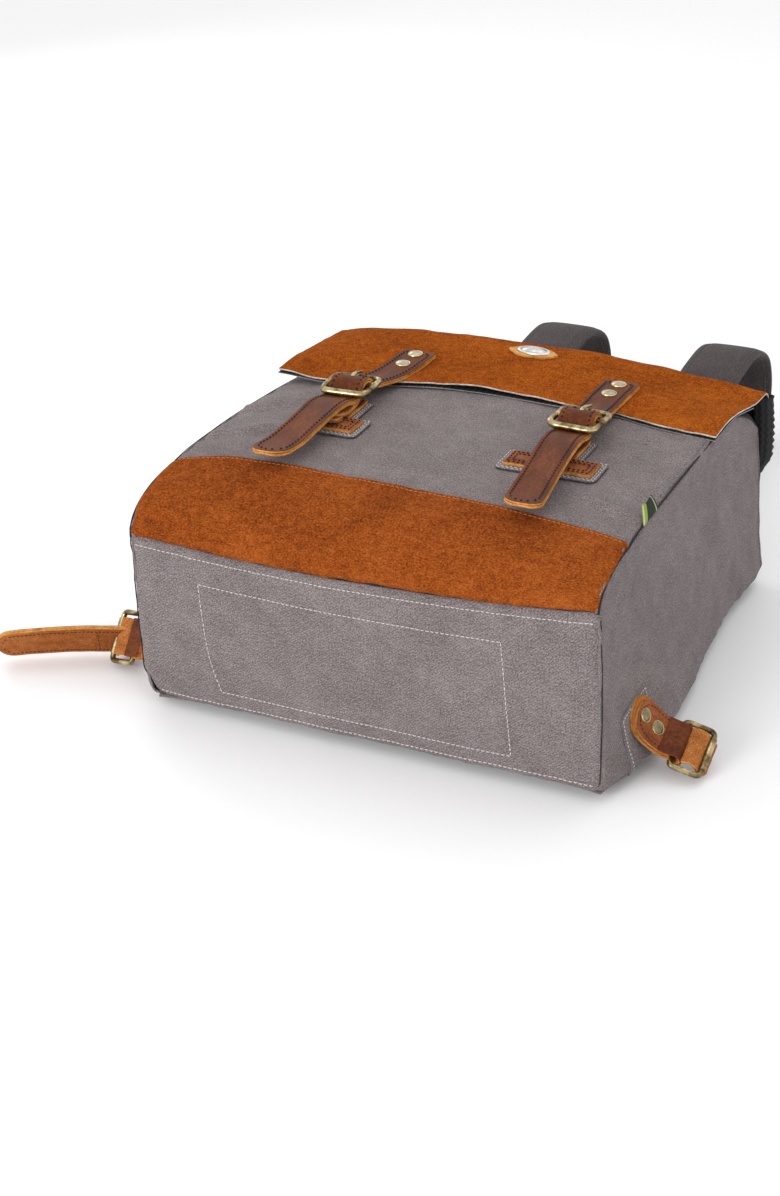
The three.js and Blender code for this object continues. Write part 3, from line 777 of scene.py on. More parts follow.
# front panel, from under the suede band up to the mouth
front_v, gx, gt = panel_grid(MOUTH_Y + 95, 3.0, 4)
start_y = band_top(gx) - BAND_OVERLAP
gy = start_y + (MOUTH_Y - start_y) * gt
front = Surface(np.stack([gx, gy, front_height(gx, gy)], -1), width_stations, front_v)
p = front.p
folds = 0.45 * waves(11, 55, 12, (1.5, 1, 1))(p) + 0.16 * waves(12, 17, 12)(p)
folds = creased(folds, p[..., :2], (
    ((-150, -62), (-96, -34), 5, -1.5), ((-150, -52), (-100, -22), 4, 1.3),
    ((-150, -20), (-104, 12), 5, -1.4), ((-150, -6), (-112, 22), 4, 1.2), ((-150, 30), (-116, 44), 5, -1.2),
    ((-142, 10), (-108, 34), 3, 0.8), ((104, -62), (150, -86), 5, -1.5), ((92, -48), (150, -72), 4, 1.2),
    ((104, 38), (146, -6), 5, -1.3), ((112, 44), (150, 14), 4, 0.9), ((-40, 28), (50, 20), 6, -0.7),
    ((-60, 8), (20, -2), 5, 0.5), ((100, 20), (138, -30), 4, -0.8)), raised=1.25)
# the cloth lies flatter under the closures' patches
beside = np.maximum(np.abs(np.abs(p[..., 0]) - 74) - 26, 0) / 7
beyond = np.maximum(np.abs(p[..., 1] + 10) - 28, 0) / 8
quiet = np.exp(-beside ** 2) * np.exp(-beyond ** 2)
folds = np.where(folds > 0, folds * (1 - quiet), folds * (1 - 0.8 * quiet)) - 0.25
front.lift(folds)
sewn(front, ("u0", "u1"), 1.9, 4.5, 0.4, 21)
front_shell = shell("front_cloth", front, 1.5, [CANVAS, LINING, CANVAS])

# dark collar round the mouth, under the flap
collar_v = front_v > COLLAR_START * front_v[-1]
collar = Surface(front.p[:, collar_v].copy(), width_stations, front_v[collar_v])
attach(shell("mouth_collar", collar.lift(0.9), 0.8, [LINING] * 3), "bag", "lining_cloth")

# suede band
band_v, gx, gt = panel_grid(BAND_LENGTH, 2.6, 3)
band = Surface(band_point(gx, gt), width_stations, band_v)
band.lift(1.1 + 0.35 * waves(31, 48, 12)(band.p) + 0.12 * waves(32, 14, 12)(band.p))
sewn(band, ("u0", "u1", "v0"), 2.2, 4.5, 0.4, 22)
band_shell = shell("suede_band", band, 1.8, [SUEDE_BAND, LINING, SUEDE_BAND], 0.2)

# bottom panel
base_v, gx, gt = panel_grid(BASE_LENGTH, 3.0, 4)
gz = FLOOR_EDGE_Z + (base_seam(gx) - FLOOR_EDGE_Z) * gt
belly = np.sin(np.pi * np.clip((gx + HALF) / (2 * HALF), 0, 1)) ** 0.6
belly *= np.sin(np.pi * np.clip(gt, 0, 1)) ** 0.7
low_left = smooth((30 - gz) / 30) * smooth((-gx - 110) / 40)
narrow = gx * (1 + 0.008 * np.sin(np.pi * gt)) + 7 * low_left
gy = BASE_Y - 1.8 * belly + 5 * smooth((12 - gz) / 9) + 3 * low_left
base = Surface(np.stack([narrow, gy, gz], -1), width_stations, base_v)
folds = 0.3 * waves(41, 60, 12)(base.p) + 0.1 * waves(42, 15, 12)(base.p)
base.lift(creased(folds, base.p[..., [0, 2]], (
    ((-98, 34), (-84, 26), 2.5, 0.5), ((-92, 40), (-80, 30), 2.5, -0.5), ((-20, 60), (30, 72), 6, -0.4),
    ((60, 40), (110, 60), 7, 0.5), ((-140, 90), (-120, 60), 5, -0.6))))
sewn(base, ("u0", "u1", "v1"), 1.7, 4.0, 0.35, 23)
sewn(base, ("v0",), 1.2, 3.0, 0.3, 24)
base_shell = shell("bottom_cloth", base, 1.6, [CANVAS] * 3)

# gussets
gussets = {}
for name, sign in SIDES:
    edge = side_edge(sign * HALF, 40, MOUTH_Y)
    total = lengths(edge)[-1]
    along = stations(total, 3.2, 4)
    upper = resample(edge, along)
    share = along / total
    floor_x = floor_right if sign > 0 else floor_left
    low_y = BASE_Y + (149 - BASE_Y) * share
    rise = stations(GUSSET_LENGTH, 3.4, 4)
    b = (rise / GUSSET_LENGTH)[None, :]
    low = np.stack([sign * floor_x(low_y), low_y, np.full(len(low_y), FLOOR_EDGE_Z)], -1)
    points = low[:, None] * (1 - b)[..., None] + upper[:, None] * b[..., None]
    bulge = np.sin(np.pi * np.clip(b, 0, 1))
    puff = 3.0 * bulge ** 1.2 * np.sin(np.pi * np.clip(share, 0, 1))[:, None] ** 0.5
    points[..., 0] = sign * (HALF + (np.abs(low[:, :1]) - HALF) * (1 - b) ** 4.6 + puff)
    points[..., 0] -= sign * 5 * smooth((12 - points[..., 2]) / 9)
    points[..., 1] += 5 * smooth((share[:, None] - 0.86) / 0.14) * bulge ** 0.7
    if sign < 0:
        points = points[::-1]
    side = Surface(points, along, rise)
    folds = 0.6 * waves(51 + sign, 60, 12, (1, 1, 1.6))(side.p) + 0.18 * waves(52 + sign, 16, 12)(side.p)
    side.lift(creased(folds, side.p[..., 1:], (
        ((60, 120), (128, 30), 6, -1.6), ((84, 128), (146, 60), 5, 1.4), ((40, 96), (120, 14), 7, 1.4),
        ((100, 134), (148, 96), 5, -1.3), ((10, 110), (92, 10), 7, -1.0), ((-60, 60), (-110, 110), 8, -0.9),
        ((-20, 30), (60, 14), 5, -1.0)), 1.3, 1.3))
    sewn(side, ("u0" if sign > 0 else "u1", "v1", "v0"), 1.8, 4.5, 0.4, 25 + sign)
    gussets[name] = side
    attach(shell(f"gusset_cloth_{name}", side, 1.5, [CANVAS] * 3), "bag", "canvas", f"gusset_{name}")

# back panel
back_v, gx, gt = panel_grid(BACK_LENGTH, 6, 3)
gx = gx[::-1]
gy = BASE_Y + 4 + 288 * gt
spread = np.where(gx > 0, floor_right(gy), floor_left(gy)) - 5
gx = gx * spread / HALF
gz = 9.5 - 3.5 * (np.abs(gx) / spread) ** 6 - 2.0 * smooth((12 - (gy - BASE_Y)) / 10)
back = Surface(np.stack([gx, gy, gz], -1), width_stations, back_v)
back.lift(0.4 * waves(61, 60, 12)(back.p))
back_shell = shell("back_cloth", back, 1.5, [CANVAS] * 3)

for piece, node, slot_name in ((front_shell, "front_panel", "canvas"), (band_shell, "front_band", "suede"),
                               (base_shell, "bottom_panel", "canvas"), (back_shell, "back_panel", "canvas")):
    attach(piece, "bag", slot_name, node)


def seam_shade_line(name, points, radius=0.6):
    """A near-black tube laid down in a seam, drawn with the thread shader: painted shadow in the seam."""
    attach(tube(name, points, radius, SEAM_SHADE, 8), "bag", "canvas")


for name, sign in SIDES:
    line = side_edge(sign * (HALF + 0.2), 30, MOUTH_Y - 1)
    line[:, 2] -= 1.5
    line[:, 0] -= sign * 0.8
    seam_shade_line(f"front_seam_{name}", line)
    corner = base.p[-1 if sign > 0 else 0, 5:-1, :] + [sign * 0.3, -0.05, 0]
    seam_shade_line(f"base_seam_{name}", corner, 0.42)
seam_shade_line("band_seam", base.p[2:-2, -1, :] + [0, 0.8, 0.6], 0.7)


# ---------------------------------------------------------------- stitching on the shell

# the base board's stitch box on the bottom panel: its left side bends, its right side leans
left_u, right_u = HALF - 104, HALF + 91
top_row, low_row = 88.8, 14.6
low_left_u, low_right_u = left_u + 9.5, right_u + 5
left_side = curve([
    (left_u, top_row + 1), (left_u + 1.5, 66), (left_u + 4, 38), (low_left_u, low_row + 1)], 0.8)
rows = [stitch_row(base, [(3, BASE_LENGTH - 5.5), (297, BASE_LENGTH - 5.5)], 300),
        stitch_row(base, [(6, 6.5), (297, 6.5)], 300)]
rows += [stitch_row(base, side, 200) for side in (
    [(left_u, top_row + 1), (right_u, top_row)], [(right_u, top_row), (low_right_u, low_row)],
    [(low_right_u, low_row), (low_left_u, low_row + 1)], left_side)]
attach(stitches("bottom_stitches", rows, THREAD_WHITE, 3.1, 2.5, 0.34), "bag", "canvas")

rows = [stitch_row(band, [(4, BAND_LENGTH - 2.6), (296, BAND_LENGTH - 2.6)], 300)]
attach(stitches("band_stitches", rows, THREAD_RUST, 3.1, 2.5, 0.3), "bag", "suede")

rows = []
for name, sign in SIDES:
    far = gussets[name].u[-1] - 4.5 if sign > 0 else 4.5
    rows.append(stitch_row(gussets[name], [(far, 6), (far, 136)], 120))
rows.append(stitch_row(front, [(6, front_v[-1] - 6), (294, front_v[-1] - 6)], 200))
attach(stitches("mouth_stitches", rows, THREAD_GREY, 3.1, 2.4, 0.3), "bag", "canvas")


# ---------------------------------------------------------------- flap

FLAP_TOP = 151.2
FLAP_HALF = 152
FLAP_LENGTH = 166.0
YOKE_LENGTH = 75
BELLOWS_LOW, BELLOWS_LENGTH = 76, 56
flap_edge = spline([
    (-154, 52), (-147, 50.7), (-117, 44.5), (-71, 52), (-26, 62), (6, 62.5), (46, 58), (80, 57), (116, 49),
    (154, 47)])
fold_drop = spline([
    (-156, 11.5), (-130, 5), (-108, 2.4), (-69, 1.2), (-17, 0.2), (40, 1.6), (96, 6.2), (130, 10.5),
    (156, 14)])
flap_us = stations(2 * FLAP_HALF, 3.2, 4)
flap_v = stations(FLAP_LENGTH, 2.4, 3)


def flap_height(x, y):
    """Height of the flap's upper face, in mm."""
    reach = smooth((y - 58) / 88)
    arch = 1.9 * np.exp(-((x + 4) / 38) ** 2) * (1 - smooth((y - 58) / 55))
    corner = 2.2 * (np.abs(x) / FLAP_HALF) ** 5 * (1 - smooth((y - 50) / 50))
    return FLAP_TOP - fold_drop(x) * reach + arch - corner


def flap_column(x, ahead):
    """One line of (y, z) over the flap, from its front edge over the fold and down the wall."""
    ys = np.linspace(flap_edge(x) - ahead, 140, 9)
    crest = flap_height(x, 146.0)
    bend = [(147.0, crest - 0.9), (151.6, crest - 3.6), (154.4, crest - 9.5)]
    foot = 86.0
    wall = [(y, foot + (crest - 9.5 - foot) * share) for y, share in (
        (156.3, 0.62), (157.4, 0.36), (156.8, 0.15), (155.6, 0.0))]
    fine = curve(list(zip(ys, flap_height(x, ys))) + bend + wall, 1.0)
    return resample(fine, flap_v / FLAP_LENGTH * lengths(fine)[-1])


def flap_sheet(ahead=0.0):
    """The flap's points. Ahead is how far its front edge comes forward."""
    columns = []
    for x in flap_us - FLAP_HALF:
        yz = flap_column(x, ahead)
        flare = 1 + 0.012 * smooth((yz[:, 0] - 90) / 50) - 0.006 * smooth((140 - yz[:, 1]) / 40)
        columns.append(np.column_stack([x * flare, yz]))
    return np.array(columns)


flap = Surface(flap_sheet(), flap_us, flap_v)
flap.lift(0.55 * waves(71, 50, 12)(flap.p) + 0.14 * waves(72, 13, 12)(flap.p))
flap_skin = shell("flap_suede", flap, 1.9, [SUEDE, LINING, SUEDE_RIM], 0.25)

keep_v = flap_v < 84
facing = Surface(flap_sheet(1.4)[:, keep_v], flap_us, flap_v[keep_v])
facing.p[..., 2] = np.minimum(facing.p[..., 2] - 2.2, 149.3)
lens = np.exp(-((facing.p[..., 0] + 4) / 44) ** 2) * (1 - smooth((facing.p[..., 1] - 58) / 40))
facing.p[..., 2] -= 0.9 * lens + 0.1
facing.settle()
facing.lift(0.2 * waves(74, 36, 12)(facing.p))
facing_skin = shell("flap_facing", facing, 0.9, [LINING, LINING, CANVAS_PALE], 0.2)

yoke_v = stations(YOKE_LENGTH, 4, 3)
gx, gt = np.meshgrid(flap_us / FLAP_HALF - 1, yoke_v / YOKE_LENGTH, indexing="ij")
yoke_line = curve([(154.4, 90), (154.6, 82), (153.4, 62), (151.2, 40), (149.0, 15)], 1.0)
yoke_points = resample(yoke_line, (gt * lengths(yoke_line)[-1]).ravel()).reshape(*gt.shape, 2)
yoke = Surface(np.concatenate([(gx * (150.5 - 1.5 * gt))[..., None], yoke_points], -1), flap_us, yoke_v)
yoke.lift(0.7 * waves(75, 45, 12)(yoke.p))
yoke_skin = shell("flap_yoke_cloth", yoke, 1.4, [CANVAS, LINING, CANVAS_PALE])

attach(flap_skin, None, "suede", "flap_front", "flap_wall")
attach(facing_skin, None, "lining_cloth", "flap_lining")
for piece in (flap_skin, facing_skin):
    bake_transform(piece)
attach(yoke_skin, None, "canvas", "flap_yoke")
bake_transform(yoke_skin)

# ribbed cloth that closes the flap's two side edges
for name, sign in SIDES:
    down = stations(BELLOWS_LENGTH, 2.5, 2)
    profile = curve([(143.5, 150.5), (150.5, 150.5), (155.0, 153.0), (155.6, 157.4), (150, 158.8)], 0.8)
    round_v = np.linspace(0, lengths(profile)[-1], len(profile))
    gz = (BELLOWS_LOW + down)[None, :]
    taper = 5 * (1 - smooth((gz - BELLOWS_LOW) / 14))
    shift = 0.8 * waves(81, 20)(np.column_stack([round_v] * 3))[:, None]
    pleat = 0.7 * np.sin(2 * math.pi * gz / 5.2 + shift)
    px = profile[:, 0][:, None] + pleat + 1.6 * np.sin(np.pi * (gz - BELLOWS_LOW) / BELLOWS_LENGTH) - taper
    points = np.stack([sign * px, profile[:, 1][:, None] - 0.4 * taper, gz + 0 * px], -1)
    bellows = Surface(points if sign > 0 else points[::-1], round_v, down)
    attach(shell(f"flap_bellows_{name}", bellows, 1.0, [LINING] * 3), "flap_wall", "lining_cloth")


def on_surface(surface, u0, v0):
    """Puts a flat piece on a surface, with its origin at u0, v0."""
    def place(co):
        return Vector(surface.at(u0 + co.x, v0 + co.y, co.z)[0])
    return place


def surface_matrix(surface, u0, v0, height=0.0):
    """A frame that stands on a surface: x along u, z out."""
    point, normal = surface.at(u0, v0, height)
    normal = Vector(normal).normalized()
    ahead, _ = surface.at(u0 + 1, v0, height)
    x = (Vector(ahead) - Vector(point)).normalized()
    y = normal.cross(x).normalized()
    x = y.cross(normal)
    made = Matrix((x, y, normal)).transposed().to_4x4()
    made.translation = Vector(point)
    return made


def flap_v_at(x, y):
    """Distance along the flap's surface grid at which its upper face reaches y."""
    line = flap.p[int(np.argmin(np.abs(flap.p[:, 0, 0] - x)))]
    front_part = line[:, 2] > 130
    return float(np.interp(y, line[front_part][:, 1], flap_v[front_part]))


# badge: a plain pointed patch and a plain domed oval
badge_u, badge_v = 152.5, flap_v_at(0, 126)
outline = rounded([(-18, 0), (-9.5, -8.2), (9.5, -8.2), (18, 0), (9.5, 8.2), (-9.5, 8.2)],
                  [1.2, 3, 3, 1.2, 3, 3], 4)
badge_patch = plate("badge_patch_leather", outline, 0.1, 1.9, [BADGE_LEATHER, EDGE], 0.4,
                    on_surface(flap, badge_u, badge_v), 0.08, 5)
attach(badge_patch, "flap_front", "raw_leather", "badge_patch")
seat = surface_matrix(flap, badge_u, badge_v, 1.8) @ Matrix.Diagonal((1.72, 1, 1, 1))
badge_dome = lathe("badge_oval", [
    (6.3, 0), (6.6, 0.5), (6.4, 1.3), (5.8, 1.5), (5.3, 1.0), (4.9, 0.9), (4.4, 1.5), (3.0, 2.3), (1.4, 2.7),
    (0.05, 2.8)], seat, [PEWTER], None, 40)
attach(badge_dome, "flap_front", "badge_metal", "badge_plate")


# ---------------------------------------------------------------- closures

def rivet(name, matrix, node, body, radius=5.1, face=RIVET):
    """A domed cap in a darker rolled rim."""
    profile = [(radius * share, height) for share, height in (
        (0.98, 0), (1, 0.5), (0.93, 1.0), (0.84, 0.85), (0.8, 1.05), (0.55, 1.6), (0.28, 1.85))]
    profile.append((0.05, 1.95))
    cap = lathe(name, profile, matrix, [face, BRASS], [1, 1, 1, 1, 0, 0, 0], 32)
    attach(cap, body, "antique_brass", node)


def loop_points(half_x, half_y, corner):
    return rounded([(-half_x, -half_y), (half_x, -half_y), (half_x, half_y), (-half_x, half_y)], corner, 6)


CLOSURE_X, BAR_Y, BAR_Z = 76.0, 20, 160.5
STRAP_HALF = 11.5
BUCKLE_SEAT = {"left": (-81.6, 20.0, 3.0), "right": (74.2, 20.0, -4.0)}  # x, y and turn in degrees
STRAP_COURSE = {  # x at each y
    "left": spline([
        (-90, -85.6), (-60, -83.0), (-30, -82.5), (0, -82.6), (20, -81.8), (36, -79.0), (54, -74.0),
        (76, -70.8), (100, -70.2)]),
    "right": spline([
        (-100, 85.0), (-82, 82.4), (-56, 79.4), (-25, 76.4), (5, 74.2), (20, 74.0), (36, 73.6), (54, 73.2),
        (76, 73.0), (100, 73.0)]),
}
TAIL_END = {"left": -90, "right": -101}
PATCH_SHIFT = {"left": (-5.0, 8.0), "right": (-2.0, 0.0)}
PATCH_ARM = {"left": 22, "right": 28}


def closure_frame(name, sign):
    """Moves a closure drawn at CLOSURE_X and BAR_Y to where its buckle lies."""
    x, y, turn = BUCKLE_SEAT[name]
    return (Matrix.Translation((x, y, 0)) @ Matrix.Rotation(math.radians(turn), 4, "Z")
            @ Matrix.Translation((-sign * CLOSURE_X, -BAR_Y, 0)))


def closure_strap(name, sign):
    """The strap of two glued layers, its stitching and the two rivets that hold it to the flap."""
    x0 = sign * CLOSURE_X
    on_flap = np.array([100.0, 92, 84, 76, 68, 60])
    upper = list(zip(on_flap, flap_height(x0, on_flap) + 1.75))
    tongue = [(52, 153.3), (45, 154.2), (39, 155.2), (34, 156.0), (30, 157.6), (26, 161.2), (22.5, 163.5),
              (18.5, 163.6), (15, 161.9), (11.5, 158.5), (7.5, 156.2), (2, 156.6), (-6, 158.9), (-14, 159.9),
              (-30, 159.7), (-50, 158.4), (-72, 157.4), (TAIL_END[name] + 6, 158.3), (TAIL_END[name], 159.3)]
    yz = curve(upper + tongue, 0.8)
    path = np.column_stack([STRAP_COURSE[name](yz[:, 0]), yz])
    top = ribbon(path, lambda s: STRAP_HALF + 0.25 * np.sin(14 * s), (1, 0, 0), 1.3, 0.9, None, 9.5, 2.5)
    under = Surface(top.p.copy(), top.u, top.v)
    middle = under.p.mean(axis=1, keepdims=True)
    under.p = middle + (under.p - middle) * 1.035
    under.settle()
    top.lift(1.6 + 0.1 * waves(91 + sign, 20)(top.p))
    under.lift(-0.2 + 0.1 * waves(93 + sign, 14)(under.p))
    strap = shell(f"closure_strap_leather_{name}", top, 1.5, [LEATHER, EDGE, EDGE], 0.3)
    backing = shell(f"closure_strap_backing_{name}", under, 1.4, [EDGE, SUEDE_RAW, EDGE], 0.3)
    end, wide, m = top.u[-1], 2 * STRAP_HALF, 2.5
    track = [(5, wide - m), (5, m), (end - 9.5, m), (end - 4.6, m + 2.2), (end - m, m + 7),
             (end - m, wide - m - 7), (end - 4.6, wide - m - 2.2), (end - 9.5, wide - m), (5, wide - m)]
    rows = [stitch_row(top, pair, 140, 0.02) for pair in zip(track[:-1], track[1:])]
    thread = stitches(f"closure_strap_stitches_{name}", rows, THREAD_DARK, 3.3, 1.9, 0.6)
    attach(strap, None, "leather", f"closure_strap_{name}", f"closure_strap_upper_{name}")
    attach(backing, None, "leather")
    attach(thread, None, "leather")
    for piece in (strap, backing, thread):
        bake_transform(piece)
    for row, y in ((1, 92.5), (2, 74.5)):
        at_u = float(np.interp(-y, -resample(path, top.u)[:, 1], top.u))
        rivet(f"closure_cap_{row}_{name}", surface_matrix(top, at_u, wide / 2), f"closure_rivet_{row}_{name}",
              "flap_front")


def closure_buckle(name, x0, turned, body):
    """A rounded frame with a middle bar, and a prong on the bar."""
    ring = loop_points(15.4, 13.2, 6.0)
    lift = -0.9 * (np.abs(ring[:, 1]) / 13.2) ** 2
    points = moved(turned, np.column_stack([x0 + ring[:, 0], BAR_Y + ring[:, 1], BAR_Z + lift]))
    stout = np.where(ring[:, 1] < -10, 2.4, 1.95)
    frame_piece = tube(f"closure_buckle_frame_{name}", points, stout, BRASS, 14, True)
    reach = np.linspace(-15.7, 15.7, 24)
    bar_radius = np.where(np.abs(reach) > 13.0, 2.4, 1.3)
    bar_points = moved(turned, [(x0 + q, BAR_Y, BAR_Z) for q in reach])
    bar_piece = tube(f"closure_buckle_bar_{name}", bar_points, bar_radius, BRASS, 14)
    prong_path = curve([(20, 162.8), (24, 164.9), (29, 164.6), (33, 163.3), (36.4, 162.5)], 0.8)
    prong_points = moved(turned, [(x0, y, z) for y, z in prong_path])
    taper = np.linspace(1.5, 1.0, len(prong_points))
    blade = tube(f"closure_prong_blade_{name}", prong_points, taper, BRASS, 12, flatten=0.8)
    hoop = moved(turned, [(x0, BAR_Y + 2.8 * math.cos(a), BAR_Z + 2.8 * math.sin(a))
                          for a in np.linspace(0, 2 * math.pi, 24, endpoint=False)])
    hoop_piece = tube(f"closure_prong_loop_{name}", hoop, 1.1, BRASS, 10, True)
    attach(frame_piece, body, "antique_brass", f"closure_buckle_{name}")
    attach(bar_piece, body, "antique_brass")
    attach(blade, f"prong_{name}", "antique_brass", f"closure_prong_{name}")
    attach(hoop_piece, f"prong_{name}", "antique_brass")


def closure_tab(name, sign, turned, body):
    """The tab that carries the buckle, folded round its bar."""
    x0 = sign * CLOSURE_X
    fold = curve([(-24, 155.2), (-15, 155.0), (-8, 153.4), (0, 152.9), (7, 153.3), (13, 155.6), (17, 157.4),
                  (21, 157.2), (23.4, 159.6), (22.6, 162.4), (19.6, 163.4)], 0.8)
    fold_end = curve([(9, 156.3), (4, 156.2), (-3, 154.6), (-10, 154.8), (-17, 156.8), (-21, 157.4)], 0.8)
    across = turned.to_3x3() @ Vector((1, 0, 0))
    tab = ribbon(moved(turned, [(x0, y, z) for y, z in fold])[::-1], 9.6, across, 1.2, 0.9, None, 4)
    tab.lift(0.8 + 0.1 * waves(97 + sign, 12)(tab.p))
    tab_piece = shell(f"closure_tab_leather_{name}", tab, 2.4, [LEATHER_RED, SUEDE_RAW, EDGE], 0.2)
    second = ribbon(moved(turned, [(x0 + 1.2, y, z) for y, z in fold_end]), 8.8, across, 1.2, 0.9, None, 4)
    second_piece = shell(f"closure_tab_end_{name}", second, 1.9, [SUEDE_RAW, SUEDE_RAW, EDGE], 0.2)
    attach(tab_piece, body, "leather", f"closure_tab_{name}")
    attach(second_piece, body, "leather")


def closure_patches(name, x0):
    """The leather cross under a closure, on its canvas patch, each stitched with two rows."""
    shift_x, shift_y = PATCH_SHIFT[name]

    def on_front(co):
        x = x0 + shift_x + co.x
        first = float(band_top(x)) - BAND_OVERLAP
        v = (co.y + shift_y - first) / (MOUTH_Y - first) * front_v[-1]
        return Vector(front.at(x + HALF, v, co.z)[0])

    def tee(grow):
        arm, stem = PATCH_ARM[name] + grow, 11 + grow
        return [(-arm, -35 - grow), (arm, -35 - grow), (arm, -17 + grow), (stem, -17 + grow), (stem, 12),
                (-stem, 12), (-stem, -17 + grow), (-arm, -17 + grow)]

    def patch_rows(grow, margins, height):
        return [flat_row(inset(tee(grow), margin), height, True, on_front) for margin in margins]

    cloth_outline = rounded(tee(4.2), [5, 5, 5, 2, 1, 1, 2, 5], 5)
    # its cut edge is the darker strap canvas: partly the edge's own tone, partly painted shadow round the
    # patch
    cloth_patch = plate(f"canvas_patch_cloth_{name}", cloth_outline, 0.05, 1.6, [CANVAS, CANVAS_DARK], 0.5,
                        on_front, 0.05, 7)
    hide_outline = rounded(tee(0), [1.5, 1.5, 1.5, 1, 1, 1, 1, 1.5], 3)
    hide_patch = plate(f"leather_patch_hide_{name}", hide_outline, 1.62, 3.7, [LEATHER_RED, EDGE], 0.45,
                       on_front, 0.13, 8)
    thread_a = stitches(f"canvas_patch_stitches_{name}", patch_rows(4.2, (1.3, 3.0), 1.7), THREAD_WHITE,
                        3.0, 1.9, 0.27)
    thread_b = stitches(f"leather_patch_stitches_{name}", patch_rows(0, (2.0, 4.6), 3.8), THREAD_DARK,
                        2.9, 1.8, 0.45)
    attach(cloth_patch, "bag", "canvas", f"canvas_patch_{name}")
    attach(hide_patch, "bag", "leather", f"leather_patch_{name}")
    attach(thread_a, "bag", "canvas")
    attach(thread_b, "bag", "leather")


for name, sign in SIDES:
    turned = closure_frame(name, sign)
    closure_strap(name, sign)
    closure_buckle(name, sign * CLOSURE_X, turned, f"closure_{name}")
    closure_tab(name, sign, turned, f"closure_{name}")
    closure_patches(name, sign * CLOSURE_X)


# ---------------------------------------------------------------- side straps

SIDE_SETUP = {"left": (-1, -124, 34, 50), "right": (1, -100, 36, 22)}  # sign, y, z and turn in degrees
SIDE_X = 150.3
BUCKLE_OUT, BUCKLE_DOWN, BUCKLE_TILT = 37, 22.6, math.radians(18)
PATCH_LEAN = {"left": 0.0, "right": math.radians(-16)}
PATCH_WIDE, PATCH_LONG = 38, 39


def side_tab(name, sign, mount):
    """The folded tab on the gusset, its stitching and its two rivets."""
    def leaf(points, half, lift_by, start=None):
        path = np.array([(sign * u, 0, w) for u, w in curve(points, 0.8)])
        made = ribbon(path, half, (0, float(sign), 0), 1.2, 0.9, mount, None, start)
        return made.lift(lift_by + 0.12 * waves(101, 11)(made.p))

    run = [(6.3, 10.4), (7.2, 5.2), (9.8, -1.3), (13.5, -7.8), (17.8, -12.9), (22, -16.3), (27.5, -18.4)]
    upper_run = [(6.9, 6.6), (7.7, 3.3), (10.0, -1.8), (13.6, -8.1), (17.9, -13.2), (22, -16.5),
                 (26.5, -18.1)]
    wrap_run = [(20.0, -15.0), (21.8, -16.1), (26, -17.7), (30.6, -18.8), (30.8, -22.6), (26, -24.2)]
    outer_leaf = leaf(run, 13.2, 0.3, 12.5)
    inner_leaf = leaf(upper_run, 12.2, 2.2, 11.5)
    wrap_leaf = leaf(wrap_run, 12.4, 3.0)
    backing = shell(f"side_tab_backing_{name}", outer_leaf, 2.2, [SUEDE_RAW, EDGE, EDGE], 0.22)
    hide = shell(f"side_tab_leather_{name}", inner_leaf, 1.8, [LEATHER_RED, EDGE, EDGE], 0.22)
    wrap = shell(f"side_tab_wrap_{name}", wrap_leaf, 1.0, [LEATHER, EDGE, LEATHER_RED], 0.22)
    m, wide = 2.4, 24.4
    track = [(26, m), (12, m), (6.5, m + 1.6), (2.9, m + 5.2), (m, wide / 2), (2.9, wide - m - 5.2),
             (6.5, wide - m - 1.6), (12, wide - m), (26, wide - m)]
    rows = [stitch_row(inner_leaf, track, 300, 0.05)]
    thread = stitches(f"side_tab_stitches_{name}", rows, THREAD_DARK, 2.5, 1.8, 0.27)
    attach(backing, "bag", "leather", f"side_tab_{name}")
    for piece in (hide, wrap, thread):
        attach(piece, "bag", "leather")
    for row, at in ((1, 7.0), (2, 19.4)):
        rivet(f"side_cap_{row}_{name}", surface_matrix(inner_leaf, at, wide / 2), f"side_rivet_{row}_{name}",
              "bag", 4.5, BRASS_DARK)


def side_patch(name, sign, mount):
    """The stitched canvas reinforcement on the gusset, under the tab."""
    side = gussets[name]
    leaning = mount @ Matrix.Rotation(sign * PATCH_LEAN[name], 4, "X")

    def on_gusset(across, up):
        """A point of the patch's plane, moved out on to the gusset."""
        at = leaning @ Vector((0, across, up))
        gap = np.abs(side.p[..., 1] - at.y) + np.abs(side.p[..., 2] - at.z)
        i, j = np.unravel_index(np.argmin(gap), gap.shape)
        near = side.p[max(i - 2, 0):i + 3, max(j - 2, 0):j + 3]
        weight = 1 / (0.4 + ((near[..., 1:] - [at.y, at.z]) ** 2).sum(-1)) ** 1.5
        return (near[..., 0] * weight).sum() / weight.sum(), at.y, at.z

    us, vs = stations(PATCH_WIDE, 3, 1.5), stations(PATCH_LONG, 3, 1.5)
    patch = Surface([[on_gusset(sign * (a - 21), b - 29) for b in vs] for a in us], us, vs)
    patch.lift(1.1)
    patch_piece = shell(f"side_patch_cloth_{name}", patch, 1.3, [CANVAS, CANVAS, CANVAS_PALE])
    rows = [stitch_row(patch, [(1, v), (PATCH_WIDE - 1, v)], 60, 0.05) for v in (1.6, PATCH_LONG - 1.6)]
    rows += [stitch_row(patch, [(u, 1), (u, PATCH_LONG - 1)], 80, 0.05) for u in (1.6, PATCH_WIDE - 1.6)]
    thread = stitches(f"side_patch_stitches_{name}", rows, THREAD_WHITE, 2.6, 2.0, 0.27)
    attach(patch_piece, "bag", "canvas", f"side_patch_{name}")
    attach(thread, "bag", "canvas")


